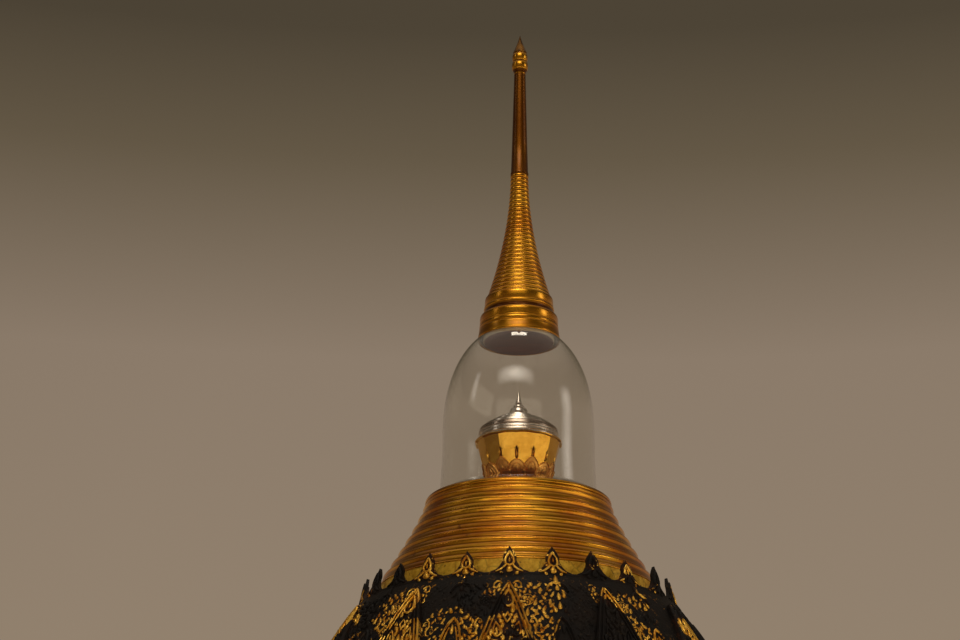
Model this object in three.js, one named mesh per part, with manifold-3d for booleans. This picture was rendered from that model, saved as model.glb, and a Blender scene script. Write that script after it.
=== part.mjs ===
// A reliquary stupa in the Thai style: a turned and gilded spire rests on a glass bell dome that
// covers a relic casket. The dome stands on a flared stack of gold rings, and these stand on a black
// lacquered bell body with carved lotus petals, round mouldings and a stepped plinth.
// Millimetres, +Z up, z = 0 on the floor, the front faces -Y.
import * as THREE from "three";
import { mergeVertices } from "three/addons/utils/BufferGeometryUtils.js";
import Module from "manifold-3d";

const wasm = await Module();
wasm.setup();

// Clearance between pieces that lie against each other on a curved face.
const GAP = 0.3;

// Sides of the turned pieces, from the thinnest to the widest.
const NEEDLE_SIDES = 12;
const SPIRE_SIDES = 16;
const DOME_SIDES = 36;
const BODY_SIDES = 48;

// Plinth, octagonal: the height of each course's top, and half its width across the flats.
const PLINTH_SIDES = 8;
const LOWER_COURSE = { bottom: 0, top: 150, half: 910, moulding: 26 };
const MIDDLE_COURSE = { bottom: 150, top: 300, half: 855, moulding: 22 };
const UPPER_COURSE = { bottom: 300, top: 470, half: 800, moulding: 18 };

// Lotus ring and the three round base rings.
const LOTUS_RING = { bottom: 470, top: 590, foot: 728, waist: 716, belly: 758, brim: 772, lip: 764 };
const LOTUS_RING_STEPS = { foot: 0.12, waist: 0.2, belly: 0.62, brim: 0.9 };
const BASE_RING_HEIGHT = 54;
const BASE_RING_BULGE = 20;
const BASE_RINGS = [
  { name: "base_ring_lower", radius: 738 },
  { name: "base_ring_middle", radius: 706 },
  { name: "base_ring_upper", radius: 674 },
];

// Bell: its lip, its carved band, and the body, whose side is a quarter of an ellipse.
const LIP = { bottom: 752, top: 800, radius: 648, shoulder: 622, undercut: 14, edge: 12, rim: 26 };
const BELL_BAND = { top: 860, radius: 616 };
const BELL = { centre: 860, radius: 607, height: 980, top: 1614, steps: 7 };

// Large lotus petals, laid on the bell: apex and foot heights, and half their width at the widest.
// The side curve leaves the belly towards shoulder and reaches the apex from tip, both as a share of
// half the width and a distance above the belly or below the apex.
const PETALS = 12;
const PETAL = { apex: 1584, belly: 1270, foot: 1185, half: 110, footHalf: 98, thickness: 9 };
const PETAL_SIDE = { shoulder: 0.747, shoulderRise: 130, tip: 0.32, tipDrop: 62, steps: 4 };

// Crest of leaves round the top of the bell, each ring of leaves joined by a band at its foot. The
// leaves lean in towards the collar, by lean as an angle in degrees.
const LEAVES = 12;
const LEAF = { half: 33, waist: 15.5, waistHeight: 35, cheek: 16.5, cheekHeight: 45, thickness: 6 };
const CREST_BAND_HEIGHT = 7.5;
const LARGE_CREST = { radius: 381, height: 72, lean: 13.6 };
const SMALL_CREST = { radius: 372, height: 63, lean: 7.5 };

// Flared stack of gold rings: groove radius k rings below the top is base + k * rise + k * k * flare.
const COLLAR = { top: 1669, radius: 340 };
const STACK_RINGS = 7;
const STACK_TOP = 1875;
const STACK = { base: 227, rise: 11.4, flare: 0.62 };
const STACK_PITCH = (STACK_TOP - COLLAR.top) / STACK_RINGS;
const BEAD_SHARE = 0.34;
const RING_BULGE = 6;
const BEAD_BULGE = 2.5;
const DOME_PLATE = { top: 1894, radius: 226, bulge: 3 };

// Glass dome: a wall that spreads a little at its foot, and a crown that is open at the top. Height
// over radius on the crown is a full-shouldered ellipse: a power of 2 would make it a true one.
const GLASS = { radius: 190, centre: 2080, height: 280, power: 2.2, wall: 5 };
const GLASS_FOOT = { bottom: 1894, radius: 195, spread: 1985, spreadRadius: 191 };
const GLASS_CROWN_RADII = [190, 187, 180, 169, 153, 130, 105.5, 94];

// Relic casket: foot, lotus bowl with petals, and a domed lid in two courses with a neck and a needle.
// The profiles are [radius, height] points.
const CASKET_FOOT_PROFILE = [
  [76, 1894],
  [76, 1902],
  [48, 1914],
  [48, 1937],
  [72, 1949],
];
const BOWL = { bottom: 1949, top: 2054, petals: 14, flute: 0.05 };
const BOWL_PROFILE = [
  [0, BOWL.bottom],
  [80, BOWL.bottom],
  [88, 1972],
  [100, 2010],
  [108.5, 2038],
  [109.5, 2045],
  [106, BOWL.top],
  [84, BOWL.top],
  [64, 1962],
  [0, 1962],
];
const LID_TOP = 2092;
const LID_PROFILE = [
  [100, BOWL.top],
  [101, 2058],
  [101, 2065],
  [98, 2073],
  [91, 2083],
  [82, LID_TOP],
];
const LID_DOME = { top: 2122, shoulder: 28, bulge: 3.5, neck: 22, neckFoot: 2125, neckHead: 2137 };
const NEEDLE_PROFILE = [
  [12, 2143],
  [8.5, 2152],
  [3, 2166],
  [0.6, 2182],
];

// Flared skirt of the spire, which rests on the shoulder of the glass, and the seat inside it, a plug
// that reaches down through the opening of the glass.
const SKIRT = { radius: 105.5, edgeTop: 2330, waist: 102.3, waistHeight: 2346, head: 100, top: 2362 };
const SKIRT_BORE = { radius: 91, rim: 94 };
const SEAT = { radius: 90.6, bottom: 2317, edge: 2, shoulder: 2361, neck: 80, top: 2395 };
const MOULDING_TOP = 2413;
const MOULDING_PROFILE = [
  [0, 2396],
  [80.4, 2396],
  [80.4, SKIRT.top],
  [SKIRT.head, SKIRT.top],
  [99.3, 2382],
  [96, 2389],
  [88, 2392.5],
  [87, 2402],
  [89, 2406],
  [89, 2410],
  [87, MOULDING_TOP],
  [0, MOULDING_TOP],
];
const WIDE_RING_PROFILE = [
  [87, MOULDING_TOP],
  [88.2, 2416],
  [87.4, 2433],
  [82, 2438],
];

// Spire rings: radius over height is a smooth flare from neck to foot.
const SPIRE = { bottom: 2438, top: 2790, rings: 28, split: 13, foot: 84, neck: 25, groove: 4 };
const SPIRE_FLARE = 1.9;
const SPIRE_RING_FACE = { from: 0.3, to: 0.7 };

// Shaft and finial.
const SHAFT = { bottom: 2790, top: 3088, foot: 22.5, head: 15.3 };
const LOWER_BEAD = { bottom: 3100, top: 3125, radius: 21.5 };
const UPPER_BEAD = { bottom: 3127, top: 3149, radius: 20.3 };
const BEAD_WAIST = 18;
const CONE_PROFILE = [
  [15, UPPER_BEAD.top],
  [18, 3154],
  [7.5, 3182],
  [1, 3208],
];

// Finishes.
const finish = (color, roughness, metalness) =>
  new THREE.MeshStandardMaterial({ color, roughness, metalness });
const GOLD = finish("#b8801f", 0.28, 1);
const PALE_GOLD = finish("#b8962a", 0.4, 1);
const BRONZE = finish("#4a2c10", 0.45, 1);
const LACQUER = finish("#15110f", 0.3, 0);
const GILDED_CARVING = finish("#8a6425", 0.45, 0.8);
const SILVER = finish("#c9c6c0", 0.2, 1);
const DARK_WOOD = finish("#3a2228", 0.6, 0);
const CLEAR_GLASS = new THREE.MeshStandardMaterial({
  color: "#eef2f0",
  roughness: 0.03,
  metalness: 0,
  transparent: true,
  opacity: 0.25,
});

const stupa = new THREE.Group();

function addPiece(name, geometry, material) {
  const mesh = new THREE.Mesh(geometry, material);
  mesh.name = name;
  stupa.add(mesh);
}

// Turns a profile of [radius, height] points, listed upwards along the outside, round the Z axis.
function turn(profile, sides) {
  const points = profile.map(([radius, height]) => new THREE.Vector2(radius, height));
  return new THREE.LatheGeometry(points, sides).rotateX(Math.PI / 2);
}

// A solid of revolution, closed to the axis at its foot and head.
function turnSolid(profile, sides) {
  const foot = [0, profile[0][1]];
  const head = [0, profile.at(-1)[1]];
  return turn([foot, ...profile, head], sides);
}

// Points of a round bulge between two profile points, standing out by height; the ends are left out.
function bulge([fromRadius, fromHeight], [toRadius, toHeight], height, steps) {
  const chord = new THREE.Vector2(toRadius - fromRadius, toHeight - fromHeight);
  const out = new THREE.Vector2(chord.y, -chord.x).normalize();
  const points = [];
  for (let i = 1; i < steps; i++) {
    const angle = (Math.PI * i) / steps;
    const along = (1 - Math.cos(angle)) / 2;
    const proud = height * Math.sin(angle);
    points.push([
      fromRadius + chord.x * along + out.x * proud,
      fromHeight + chord.y * along + out.y * proud,
    ]);
  }
  return points;
}

// Conversions to and from closed solids, for joins and cuts.
function solidOf(geometry) {
  const bare = geometry.index ? geometry.toNonIndexed() : geometry.clone();
  bare.deleteAttribute("normal");
  bare.deleteAttribute("uv");
  const merged = mergeVertices(bare, 1e-3);
  return new wasm.Manifold(
    new wasm.Mesh({
      numProp: 3,
      vertProperties: merged.attributes.position.array,
      triVerts: new Uint32Array(merged.index.array),
    }),
  );
}

function geometryOf(solid) {
  const { vertProperties, triVerts } = solid.getMesh();
  const geometry = new THREE.BufferGeometry();
  geometry.setAttribute("position", new THREE.BufferAttribute(vertProperties, 3));
  geometry.setIndex(new THREE.BufferAttribute(triVerts, 1));
  return geometry;
}

function addPlinth() {
  const courses = [
    ["plinth_lower", LOWER_COURSE],
    ["plinth_middle", MIDDLE_COURSE],
    ["plinth_upper", UPPER_COURSE],
  ];
  const flatToCorner = 1 / Math.cos(Math.PI / PLINTH_SIDES);
  for (const [name, { bottom, top, half, moulding }] of courses) {
    const profile = [
      [half, bottom],
      [half, bottom + moulding],
      [half - moulding, bottom + 2 * moulding],
      [half - moulding, top - 2 * moulding],
      [half, top - moulding],
      [half, top],
    ].map(([radius, height]) => [radius * flatToCorner, height]);
    const course = turnSolid(profile, PLINTH_SIDES).rotateZ(Math.PI / PLINTH_SIDES);
    addPiece(name, course, LACQUER);
  }
}

function addRoundBase() {
  const { bottom, top, foot, waist, belly, brim, lip } = LOTUS_RING;
  const height = (share) => bottom + (top - bottom) * share;
  const lotus = [
    [foot, bottom],
    [foot, height(LOTUS_RING_STEPS.foot)],
    [waist, height(LOTUS_RING_STEPS.waist)],
    [belly, height(LOTUS_RING_STEPS.belly)],
    [brim, height(LOTUS_RING_STEPS.brim)],
    [lip, top],
  ];
  addPiece("lotus_ring", turnSolid(lotus, BODY_SIDES), GILDED_CARVING);

  BASE_RINGS.forEach(({ name, radius }, i) => {
    const low = [radius, top + i * BASE_RING_HEIGHT];
    const high = [radius, low[1] + BASE_RING_HEIGHT];
    const profile = [low, ...bulge(low, high, BASE_RING_BULGE, 3), high];
    addPiece(name, turnSolid(profile, BODY_SIDES), GOLD);
  });
}

function addBell() {
  const lip = [
    [LIP.radius - LIP.undercut, LIP.bottom],
    [LIP.radius, LIP.bottom + LIP.edge],
    [LIP.radius, LIP.bottom + LIP.rim],
    [LIP.shoulder, LIP.top],
  ];
  addPiece("bell_lip", turnSolid(lip, BODY_SIDES), GOLD);

  const band = [
    [BELL_BAND.radius, LIP.top],
    [BELL_BAND.radius, BELL_BAND.top],
  ];
  addPiece("bell_band", turnSolid(band, BODY_SIDES), GILDED_CARVING);
  addPiece("carved_body", turnSolid(bellSide(0), BODY_SIDES), LACQUER);
}

// Side of the bell, as profile points on an ellipse that stands proud of the body by the given size.
function bellSide(proud) {
  const last = Math.asin((BELL.top - BELL.centre) / BELL.height);
  const points = [];
  for (let i = 0; i <= BELL.steps; i++) {
    const angle = (last * i) / BELL.steps;
    points.push([
      (BELL.radius + proud) * Math.cos(angle),
      BELL.centre + (BELL.height + proud) * Math.sin(angle),
    ]);
  }
  return points;
}

// The outline of a lotus petal, drawn across and up, is pushed through a thin skin over the bell.
function addPetals() {
  const { apex, belly, foot, half, footHalf, thickness } = PETAL;
  const shoulder = [half * PETAL_SIDE.shoulder, belly + PETAL_SIDE.shoulderRise];
  const tip = [half * PETAL_SIDE.tip, apex - PETAL_SIDE.tipDrop];
  const outline = new THREE.Shape();
  outline.moveTo(-footHalf, foot);
  outline.lineTo(footHalf, foot);
  outline.lineTo(half, belly);
  outline.bezierCurveTo(shoulder[0], shoulder[1], tip[0], tip[1], 0, apex);
  outline.bezierCurveTo(-tip[0], tip[1], -shoulder[0], shoulder[1], -half, belly);
  outline.closePath();
  const reach = BELL.radius + 2 * thickness;
  const block = new THREE.ExtrudeGeometry(outline, {
    depth: reach,
    bevelEnabled: false,
    curveSegments: PETAL_SIDE.steps,
  }).rotateX(Math.PI / 2);

  const skin = turn(bellSkin(thickness), BODY_SIDES);
  const petal = geometryOf(solidOf(block).intersect(solidOf(skin)));
  for (let i = 0; i < PETALS; i++) {
    const number = String(i + 1).padStart(2, "0");
    const turned = petal.clone().rotateZ((2 * Math.PI * i) / PETALS);
    addPiece(`main_petal_${number}`, turned, GILDED_CARVING);
  }
}

// Closed profile of a skin over the bell: up the outside, down the inside.
function bellSkin(thickness) {
  const inner = bellSide(GAP).reverse();
  const outer = bellSide(thickness);
  return [...outer, ...inner, outer[0]];
}

function addCrest({ radius, height, lean }, name, turnBy) {
  const { half, waist, waistHeight, cheek, cheekHeight, thickness } = LEAF;
  const outline = new THREE.Shape();
  outline.moveTo(-half, 0);
  outline.lineTo(half, 0);
  outline.lineTo(waist, waistHeight);
  outline.lineTo(cheek, cheekHeight);
  outline.lineTo(0, height);
  outline.lineTo(-cheek, cheekHeight);
  outline.lineTo(-waist, waistHeight);
  outline.closePath();
  const leaf = new THREE.ExtrudeGeometry(outline, { depth: thickness, bevelEnabled: false })
    .rotateX(Math.PI / 2 - THREE.MathUtils.degToRad(lean))
    .translate(0, -radius, BELL.top);
  const band = turn(
    [
      [radius, BELL.top],
      [radius + thickness, BELL.top],
      [radius + thickness, BELL.top + CREST_BAND_HEIGHT],
      [radius, BELL.top + CREST_BAND_HEIGHT],
      [radius, BELL.top],
    ],
    BODY_SIDES,
  );
  let crest = solidOf(band);
  for (let i = 0; i < LEAVES; i++) {
    const angle = turnBy + (2 * Math.PI * i) / LEAVES;
    crest = crest.add(solidOf(leaf.clone().rotateZ(angle)));
  }
  addPiece(name, geometryOf(crest), GILDED_CARVING);
}

// Groove radius of the gold stack, k rings below its top.
const grooveRadius = (k) => STACK.base + k * STACK.rise + k * k * STACK.flare;

function addStack() {
  const collar = [
    [COLLAR.radius, BELL.top],
    [COLLAR.radius, COLLAR.top],
  ];
  addPiece("collar_band", turnSolid(collar, DOME_SIDES), PALE_GOLD);

  for (let k = 1; k <= STACK_RINGS; k++) {
    const low = [grooveRadius(k), STACK_TOP - k * STACK_PITCH];
    const high = [grooveRadius(k - 1), low[1] + STACK_PITCH];
    const split = [
      low[0] + (high[0] - low[0]) * BEAD_SHARE,
      low[1] + (high[1] - low[1]) * BEAD_SHARE,
    ];
    const profile = [
      low,
      ...bulge(low, split, BEAD_BULGE, 2),
      split,
      ...bulge(split, high, RING_BULGE, 3),
      high,
    ];
    addPiece(`stack_ring_${k}`, turnSolid(profile, DOME_SIDES), GOLD);
  }

  const low = [grooveRadius(0), STACK_TOP];
  const high = [DOME_PLATE.radius, DOME_PLATE.top];
  const plate = [low, ...bulge(low, high, DOME_PLATE.bulge, 3), high];
  addPiece("dome_plate", turnSolid(plate, DOME_SIDES), GOLD);
}

// Height of the outside of the glass crown over a radius.
function crownHeight(radius) {
  const { centre, height, power } = GLASS;
  return centre + height * (1 - (radius / GLASS.radius) ** power) ** (1 / power);
}

// Side of the glass crown from its foot to the opening, inset by the given size.
function crownSide(inset) {
  const { radius, centre, height } = GLASS;
  return GLASS_CROWN_RADII.map((across) => [
    across * (1 - inset / radius),
    centre + (crownHeight(across) - centre) * (1 - inset / height),
  ]);
}

function addGlass() {
  const { wall, centre } = GLASS;
  const outside = [
    [GLASS_FOOT.radius, GLASS_FOOT.bottom],
    [GLASS_FOOT.spreadRadius, GLASS_FOOT.spread],
    [GLASS.radius, centre],
  ];
  const inside = outside.map(([radius, height]) => [radius - wall, height]).reverse();
  addPiece("glass_wall", turn([...outside, ...inside, outside[0]], DOME_SIDES), CLEAR_GLASS);
  const crown = [...crownSide(0), ...crownSide(wall).reverse(), crownSide(0)[0]];
  addPiece("glass_crown", turn(crown, DOME_SIDES), CLEAR_GLASS);
}

// Draws the side of a turned piece in along the seams between its petals; a seam faces the front.
function flute(geometry, petals, depth) {
  const position = geometry.attributes.position;
  for (let i = 0; i < position.count; i++) {
    const angle = Math.atan2(position.getX(i), -position.getY(i));
    const draw = 1 - depth * Math.abs(Math.cos((petals * angle) / 2));
    position.setX(i, position.getX(i) * draw);
    position.setY(i, position.getY(i) * draw);
  }
  return geometry;
}

function addCasket() {
  const sides = 2 * BOWL.petals;
  addPiece("casket_foot", turnSolid(CASKET_FOOT_PROFILE, sides), BRONZE);
  const bowl = flute(turn(BOWL_PROFILE, sides), BOWL.petals, BOWL.flute);
  addPiece("casket_bowl", bowl, GOLD);
  addPiece("casket_lid", turnSolid(LID_PROFILE, sides), SILVER);

  const low = LID_PROFILE.at(-1);
  const high = [LID_DOME.shoulder, LID_DOME.top];
  const dome = [
    low,
    ...bulge(low, high, LID_DOME.bulge, 3),
    high,
    [LID_DOME.neck, LID_DOME.neckFoot],
    [LID_DOME.neck, LID_DOME.neckHead],
    NEEDLE_PROFILE[0],
  ];
  addPiece("casket_lid_dome", turnSolid(dome, SPIRE_SIDES), SILVER);
  addPiece("casket_lid_finial", turnSolid(NEEDLE_PROFILE, NEEDLE_SIDES), SILVER);
}

// The underside of the skirt follows the shoulder of the glass, just clear of it.
function addSpireFoot() {
  const rim = crownHeight(SKIRT_BORE.rim) + 2 * GAP;
  const skirt = [
    [SKIRT_BORE.radius, rim],
    [SKIRT_BORE.rim, rim],
    [SKIRT.radius, crownHeight(SKIRT.radius) + GAP],
    [SKIRT.radius, SKIRT.edgeTop],
    [SKIRT.waist, SKIRT.waistHeight],
    [SKIRT.head, SKIRT.top],
    [SKIRT_BORE.radius, SKIRT.top],
    [SKIRT_BORE.radius, rim],
  ];
  addPiece("spire_skirt", turn(skirt, DOME_SIDES), GOLD);

  const { radius, bottom, edge, shoulder, neck, top } = SEAT;
  const seat = [
    [radius - edge, bottom],
    [radius, bottom + edge],
    [radius, shoulder],
    [neck, shoulder],
    [neck, top],
  ];
  addPiece("spire_seat", turnSolid(seat, DOME_SIDES), DARK_WOOD);
}

function addSpireMoulding() {
  addPiece("spire_moulding", turn(MOULDING_PROFILE, DOME_SIDES), GOLD);
  addPiece("spire_wide_ring", turnSolid(WIDE_RING_PROFILE, DOME_SIDES), GOLD);
}

// Radius over the spire's rings at a height.
function spireRadius(height) {
  const up = (height - SPIRE.bottom) / (SPIRE.top - SPIRE.bottom);
  return SPIRE.neck + (SPIRE.foot - SPIRE.neck) * (1 - up) ** SPIRE_FLARE;
}

function addSpireRings() {
  const pitch = (SPIRE.top - SPIRE.bottom) / SPIRE.rings;
  const stretch = (from, to) => {
    const points = [];
    for (let i = from; i < to; i++) {
      const low = SPIRE.bottom + i * pitch;
      const radius = spireRadius(low + pitch / 2);
      points.push([spireRadius(low) - SPIRE.groove, low]);
      points.push([radius, low + pitch * SPIRE_RING_FACE.from]);
      points.push([radius, low + pitch * SPIRE_RING_FACE.to]);
    }
    const end = SPIRE.bottom + to * pitch;
    points.push([spireRadius(end) - SPIRE.groove, end]);
    return points;
  };
  addPiece("spire_rings_lower", turnSolid(stretch(0, SPIRE.split), SPIRE_SIDES), GOLD);
  addPiece("spire_rings_upper", turnSolid(stretch(SPIRE.split, SPIRE.rings), SPIRE_SIDES), GOLD);
}

function addFinial() {
  const shaft = [
    [SHAFT.foot, SHAFT.bottom],
    [SHAFT.head, SHAFT.top],
  ];
  addPiece("spire_shaft", turnSolid(shaft, SPIRE_SIDES), GOLD);

  const bead = ({ bottom, top, radius }) => {
    const low = [BEAD_WAIST, bottom];
    const high = [BEAD_WAIST, top];
    return [low, ...bulge(low, high, radius - BEAD_WAIST, 4), high];
  };
  const beads = [[SHAFT.head, SHAFT.top], ...bead(LOWER_BEAD), ...bead(UPPER_BEAD)];
  addPiece("finial_beads", turnSolid(beads, SPIRE_SIDES), GOLD);
  addPiece("finial_cone", turnSolid(CONE_PROFILE, SPIRE_SIDES), BRONZE);
}

addPlinth();
addRoundBase();
addBell();
addPetals();
addCrest(LARGE_CREST, "crest_large_leaves", 0);
addCrest(SMALL_CREST, "crest_small_leaves", Math.PI / LEAVES);
addStack();
addGlass();
addCasket();
addSpireFoot();
addSpireMoulding();
addSpireRings();
addFinial();

export default stupa;
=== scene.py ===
"""Looks of a Thai reliquary stupa: a turned and gilded spire over a glass dome with a lotus casket,
a stack of gold rings, and a black lacquered bell with gilded carving on a stepped plinth."""
import math
from functools import partial

import bmesh
import bpy
import numpy as np
from mathutils import Matrix, Vector


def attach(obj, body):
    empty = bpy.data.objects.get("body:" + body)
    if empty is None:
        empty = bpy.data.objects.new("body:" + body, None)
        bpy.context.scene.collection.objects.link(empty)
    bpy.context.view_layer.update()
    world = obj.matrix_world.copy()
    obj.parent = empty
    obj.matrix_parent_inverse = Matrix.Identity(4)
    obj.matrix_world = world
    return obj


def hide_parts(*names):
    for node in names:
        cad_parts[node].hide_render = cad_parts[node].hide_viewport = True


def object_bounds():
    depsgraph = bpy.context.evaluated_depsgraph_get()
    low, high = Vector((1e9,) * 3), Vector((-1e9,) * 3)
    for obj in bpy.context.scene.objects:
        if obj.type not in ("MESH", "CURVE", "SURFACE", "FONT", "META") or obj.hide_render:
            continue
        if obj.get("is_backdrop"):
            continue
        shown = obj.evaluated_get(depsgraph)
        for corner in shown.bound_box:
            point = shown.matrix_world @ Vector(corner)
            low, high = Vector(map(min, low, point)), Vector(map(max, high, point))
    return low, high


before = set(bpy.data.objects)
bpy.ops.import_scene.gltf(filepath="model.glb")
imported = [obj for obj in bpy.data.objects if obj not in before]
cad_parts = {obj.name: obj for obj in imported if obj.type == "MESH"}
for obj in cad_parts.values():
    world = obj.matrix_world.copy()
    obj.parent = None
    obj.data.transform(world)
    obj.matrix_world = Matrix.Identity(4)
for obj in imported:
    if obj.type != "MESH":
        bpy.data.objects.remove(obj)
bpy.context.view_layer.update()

MM = 0.001
SINK = 1.0  # how deep ornament is let into its ground, mm


def linear(colour):
    """An sRGB hex colour as linear red, green, blue and alpha."""
    parts = [int(colour[i:i + 2], 16) / 255 for i in (1, 3, 5)]
    return [c / 12.92 if c <= 0.04045 else ((c + 0.055) / 1.055) ** 2.4 for c in parts] + [1.0]


def add_node(tree, kind, *inputs, out=0, **settings):
    """Adds one node and gives back one of its outputs, or the node where out is None. kind is its
    class, with ShaderNode left out, or a Math node's operation in capitals. inputs are values, hex
    colours or outputs to link, in order or as one dict by name; settings are its properties."""
    if kind.isupper():
        kind, settings["operation"] = "Math", kind
    node = tree.nodes.new(kind if "Node" in kind else "ShaderNode" + kind)
    for name, value in settings.items():
        setattr(node, name, value)
    if inputs and isinstance(inputs[0], dict):
        given = [(node.inputs[name], value) for name, value in inputs[0].items()]
    else:
        given = list(zip([socket for socket in node.inputs if socket.enabled], inputs))
    for socket, value in given:
        if isinstance(value, bpy.types.NodeSocket):
            tree.links.new(value, socket)
        else:
            is_colour = isinstance(value, str) and value.startswith("#")
            socket.default_value = linear(value) if is_colour else value
    if out is None:
        return node
    return node.outputs[out] if isinstance(out, str) else [s for s in node.outputs if s.enabled][out]


# Materials: each recipe draws its patterns at a place on the piece, with noise sizes given as a count
# per metre, and gives back the inputs of its shader, or a shader of its own.

def new_material(name, recipe, *tones):
    material = bpy.data.materials.new(name)
    material.use_nodes = True
    material.node_tree.nodes.clear()
    add = partial(add_node, material.node_tree)
    made = recipe(add, add("TexCoord", out="Object"), *tones)
    shader = add("BsdfPrincipled", made) if isinstance(made, dict) else made
    add("OutputMaterial", {"Surface": shader}, out=None)
    return material


def gilded_ring(add, place, light, deep, grime_and_painted_light, roughness):
    """Turned brass, fire gilded and lacquered: a smooth warm mirror, its gloss clouded by handling and
    by faint lathe lines, with painted shade in a red brown darkening the grooves and dull grimy specks where
    the lacquer is bruised."""
    groove = add("Attribute", out="Fac", attribute_name="recess")
    clouds = add("TexNoise", place, 9, 4, 0.6)
    # Real lathe lines are under 1 mm apart. These are 4 mm, so that they show, and only in the gloss.
    drawn_out = add("Mapping", {"Vector": place, "Scale": (3, 3, 250)})
    lathe = add("MapRange", add("TexNoise", drawn_out, 1, 1, 0.5), 0.3, 0.7, -0.015, 0.015)
    bruises = add("MapRange", add("TexNoise", place, 45, 2, 0.5), 0.68, 0.78)
    # Painted shade: the colour is darkened in the grooves by the recess attribute, and the gloss there is
    # duller too.
    groove_shade = add("MapRange", groove, 0.1, 0.9, 0.0, 0.92)
    colour = add("Mix", add("MapRange", clouds, 0.3, 0.7), light, deep, data_type="RGBA")
    colour = add("Mix", add("MULTIPLY", bruises, 0.6), colour, grime_and_painted_light, data_type="RGBA")
    colour = add("Mix", groove_shade, colour, grime_and_painted_light, data_type="RGBA")
    clean = add("MapRange", clouds, 0.3, 0.75, roughness - 0.03, roughness + 0.08)
    dull = add("MULTIPLY", add("MAXIMUM", bruises, groove_shade), 0.2)
    dents = add("TexNoise", place, 14, 1, 0.5)
    return {"Base Color": colour, "Metallic": 1.0,
            "Roughness": add("ADD", add("ADD", clean, dull), lathe),
            "Coat Weight": 0.25, "Coat Roughness": 0.16,
            "Normal": add("Bump", {"Height": dents, "Distance": 0.0004, "Strength": 0.3})}


def matt_gold_leaf(add, place):
    """Gold leaf laid on gesso, unburnished: pale, soft and mottled, with small brown pin holes and
    darker laps where the leaves of gold meet."""
    mottle = add("TexNoise", place, 45, 5, 0.65)
    holes = add("MapRange", add("TexNoise", place, 110, 3, 0.7), 0.6, 0.68)
    laps = add("TexVoronoi", {"Vector": place, "Scale": 18.0}, out="Distance",
               feature="DISTANCE_TO_EDGE")
    colour = add("Mix", add("MapRange", mottle, 0.35, 0.65), "#FFD044", "#CC961E", data_type="RGBA")
    colour = add("Mix", add("MapRange", laps, 0.0, 0.05, 0.45, 0.0), colour, "#8A6418",
                 data_type="RGBA")
    colour = add("Mix", add("MULTIPLY", holes, 0.7), colour, "#6A4212", data_type="RGBA")
    return {"Base Color": colour, "Metallic": 0.45,
            "Roughness": add("MapRange", mottle, 0.3, 0.7, 0.42, 0.6),
            "Normal": add("Bump", {"Height": mottle, "Distance": 0.0012, "Strength": 0.6})}


def plated(add, place, light, deep, roughness, painted_dark_tone):
    """Electroplate over spun and chased brass: a near mirror with fine polishing swirls and a thin
    cloud of tarnished tone, and a darker tone painted where the recess attribute is set."""
    tarnish_and_painted_reflection = add("TexNoise", place, 30, 4, 0.6)
    swirls = add("TexNoise", add("Mapping", {"Vector": place, "Scale": (1, 1, 0.25)}), 160, 2, 0.5)
    recess = add("Attribute", out="Fac", attribute_name="recess")
    colour = add("Mix", add("MapRange", tarnish_and_painted_reflection, 0.35, 0.7), light, deep, data_type="RGBA")
    # Painted shade and painted reflection: the recess attribute darkens the bowl's slits and inside, and the
    # middle band of the silver lid.
    colour = add("Mix", add("MapRange", recess, 0.2, 1.0, 0.0, 0.8), colour, painted_dark_tone, data_type="RGBA")
    return {"Base Color": colour, "Metallic": 1.0,
            "Roughness": add("MapRange", tarnish_and_painted_reflection, 0.3, 0.7, roughness, roughness + 0.1),
            "Normal": add("Bump", {"Height": swirls, "Distance": 0.0003, "Strength": 0.4})}


def darkened_bronze(add, place):
    """Cast bronze, olive brown with gold left in faint streaks. Its dark tone is painted shade, for the cone
    point and the casket foot, which stand in shade.
    """
    streaks = add("TexNoise", add("Mapping", {"Vector": place, "Scale": (2, 2, 0.5)}), 25, 4, 0.6)
    return {"Base Color": add("Mix", add("MapRange", streaks, 0.5, 0.72), "#4E3212", "#A87426",
                              data_type="RGBA"),
            "Metallic": 0.9, "Roughness": add("MapRange", streaks, 0.3, 0.7, 0.5, 0.32),
            "Normal": add("Bump", {"Height": streaks, "Distance": 0.0008, "Strength": 0.5})}


def blown_glass(add, place):
    """Clear soda glass blown into a mould: a faint grey green, slow waves in its wall that bend
    reflections, and no colour of its own. Lamps reach the casket through it."""
    waves = add("TexNoise", add("Mapping", {"Vector": place, "Scale": (1, 1, 0.5)}), 7, 2, 0.4)
    glass = add("BsdfPrincipled", {
        "Base Color": "#F4F3EF", "Roughness": 0.02, "IOR": 1.46, "Transmission Weight": 1.0,
        "Normal": add("Bump", {"Height": waves, "Distance": 0.002, "Strength": 0.35})})
    clear = add("BsdfTransparent", {"Color": "#F2F4F0"})
    return add("MixShader", add("LightPath", out="Is Shadow Ray"), glass, clear)


def stained_wood(add, place):
    """Turned hardwood stained plum brown and waxed: close rings of grain and a low sheen. The side
    that fits into the glass is painted pale, for the pale reflection that the glass shows at its mouth."""
    grain = add("TexNoise", add("Mapping", {"Vector": place, "Scale": (1, 9, 1)}), 12, 5, 0.6)
    # Painted reflection: the pale side stands in for the glare on the glass round the mouth.
    bare = add("Attribute", out="Fac", attribute_name="recess")
    stain = add("Mix", add("MapRange", grain, 0.3, 0.7), "#542C28", "#76463C", data_type="RGBA")
    return {"Base Color": add("Mix", bare, stain, "#D9C7A8", data_type="RGBA"),
            "Roughness": add("MapRange", grain, 0.3, 0.7, 0.45, 0.65),
            "Normal": add("Bump", {"Height": grain, "Distance": 0.0006, "Strength": 0.4})}


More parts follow.
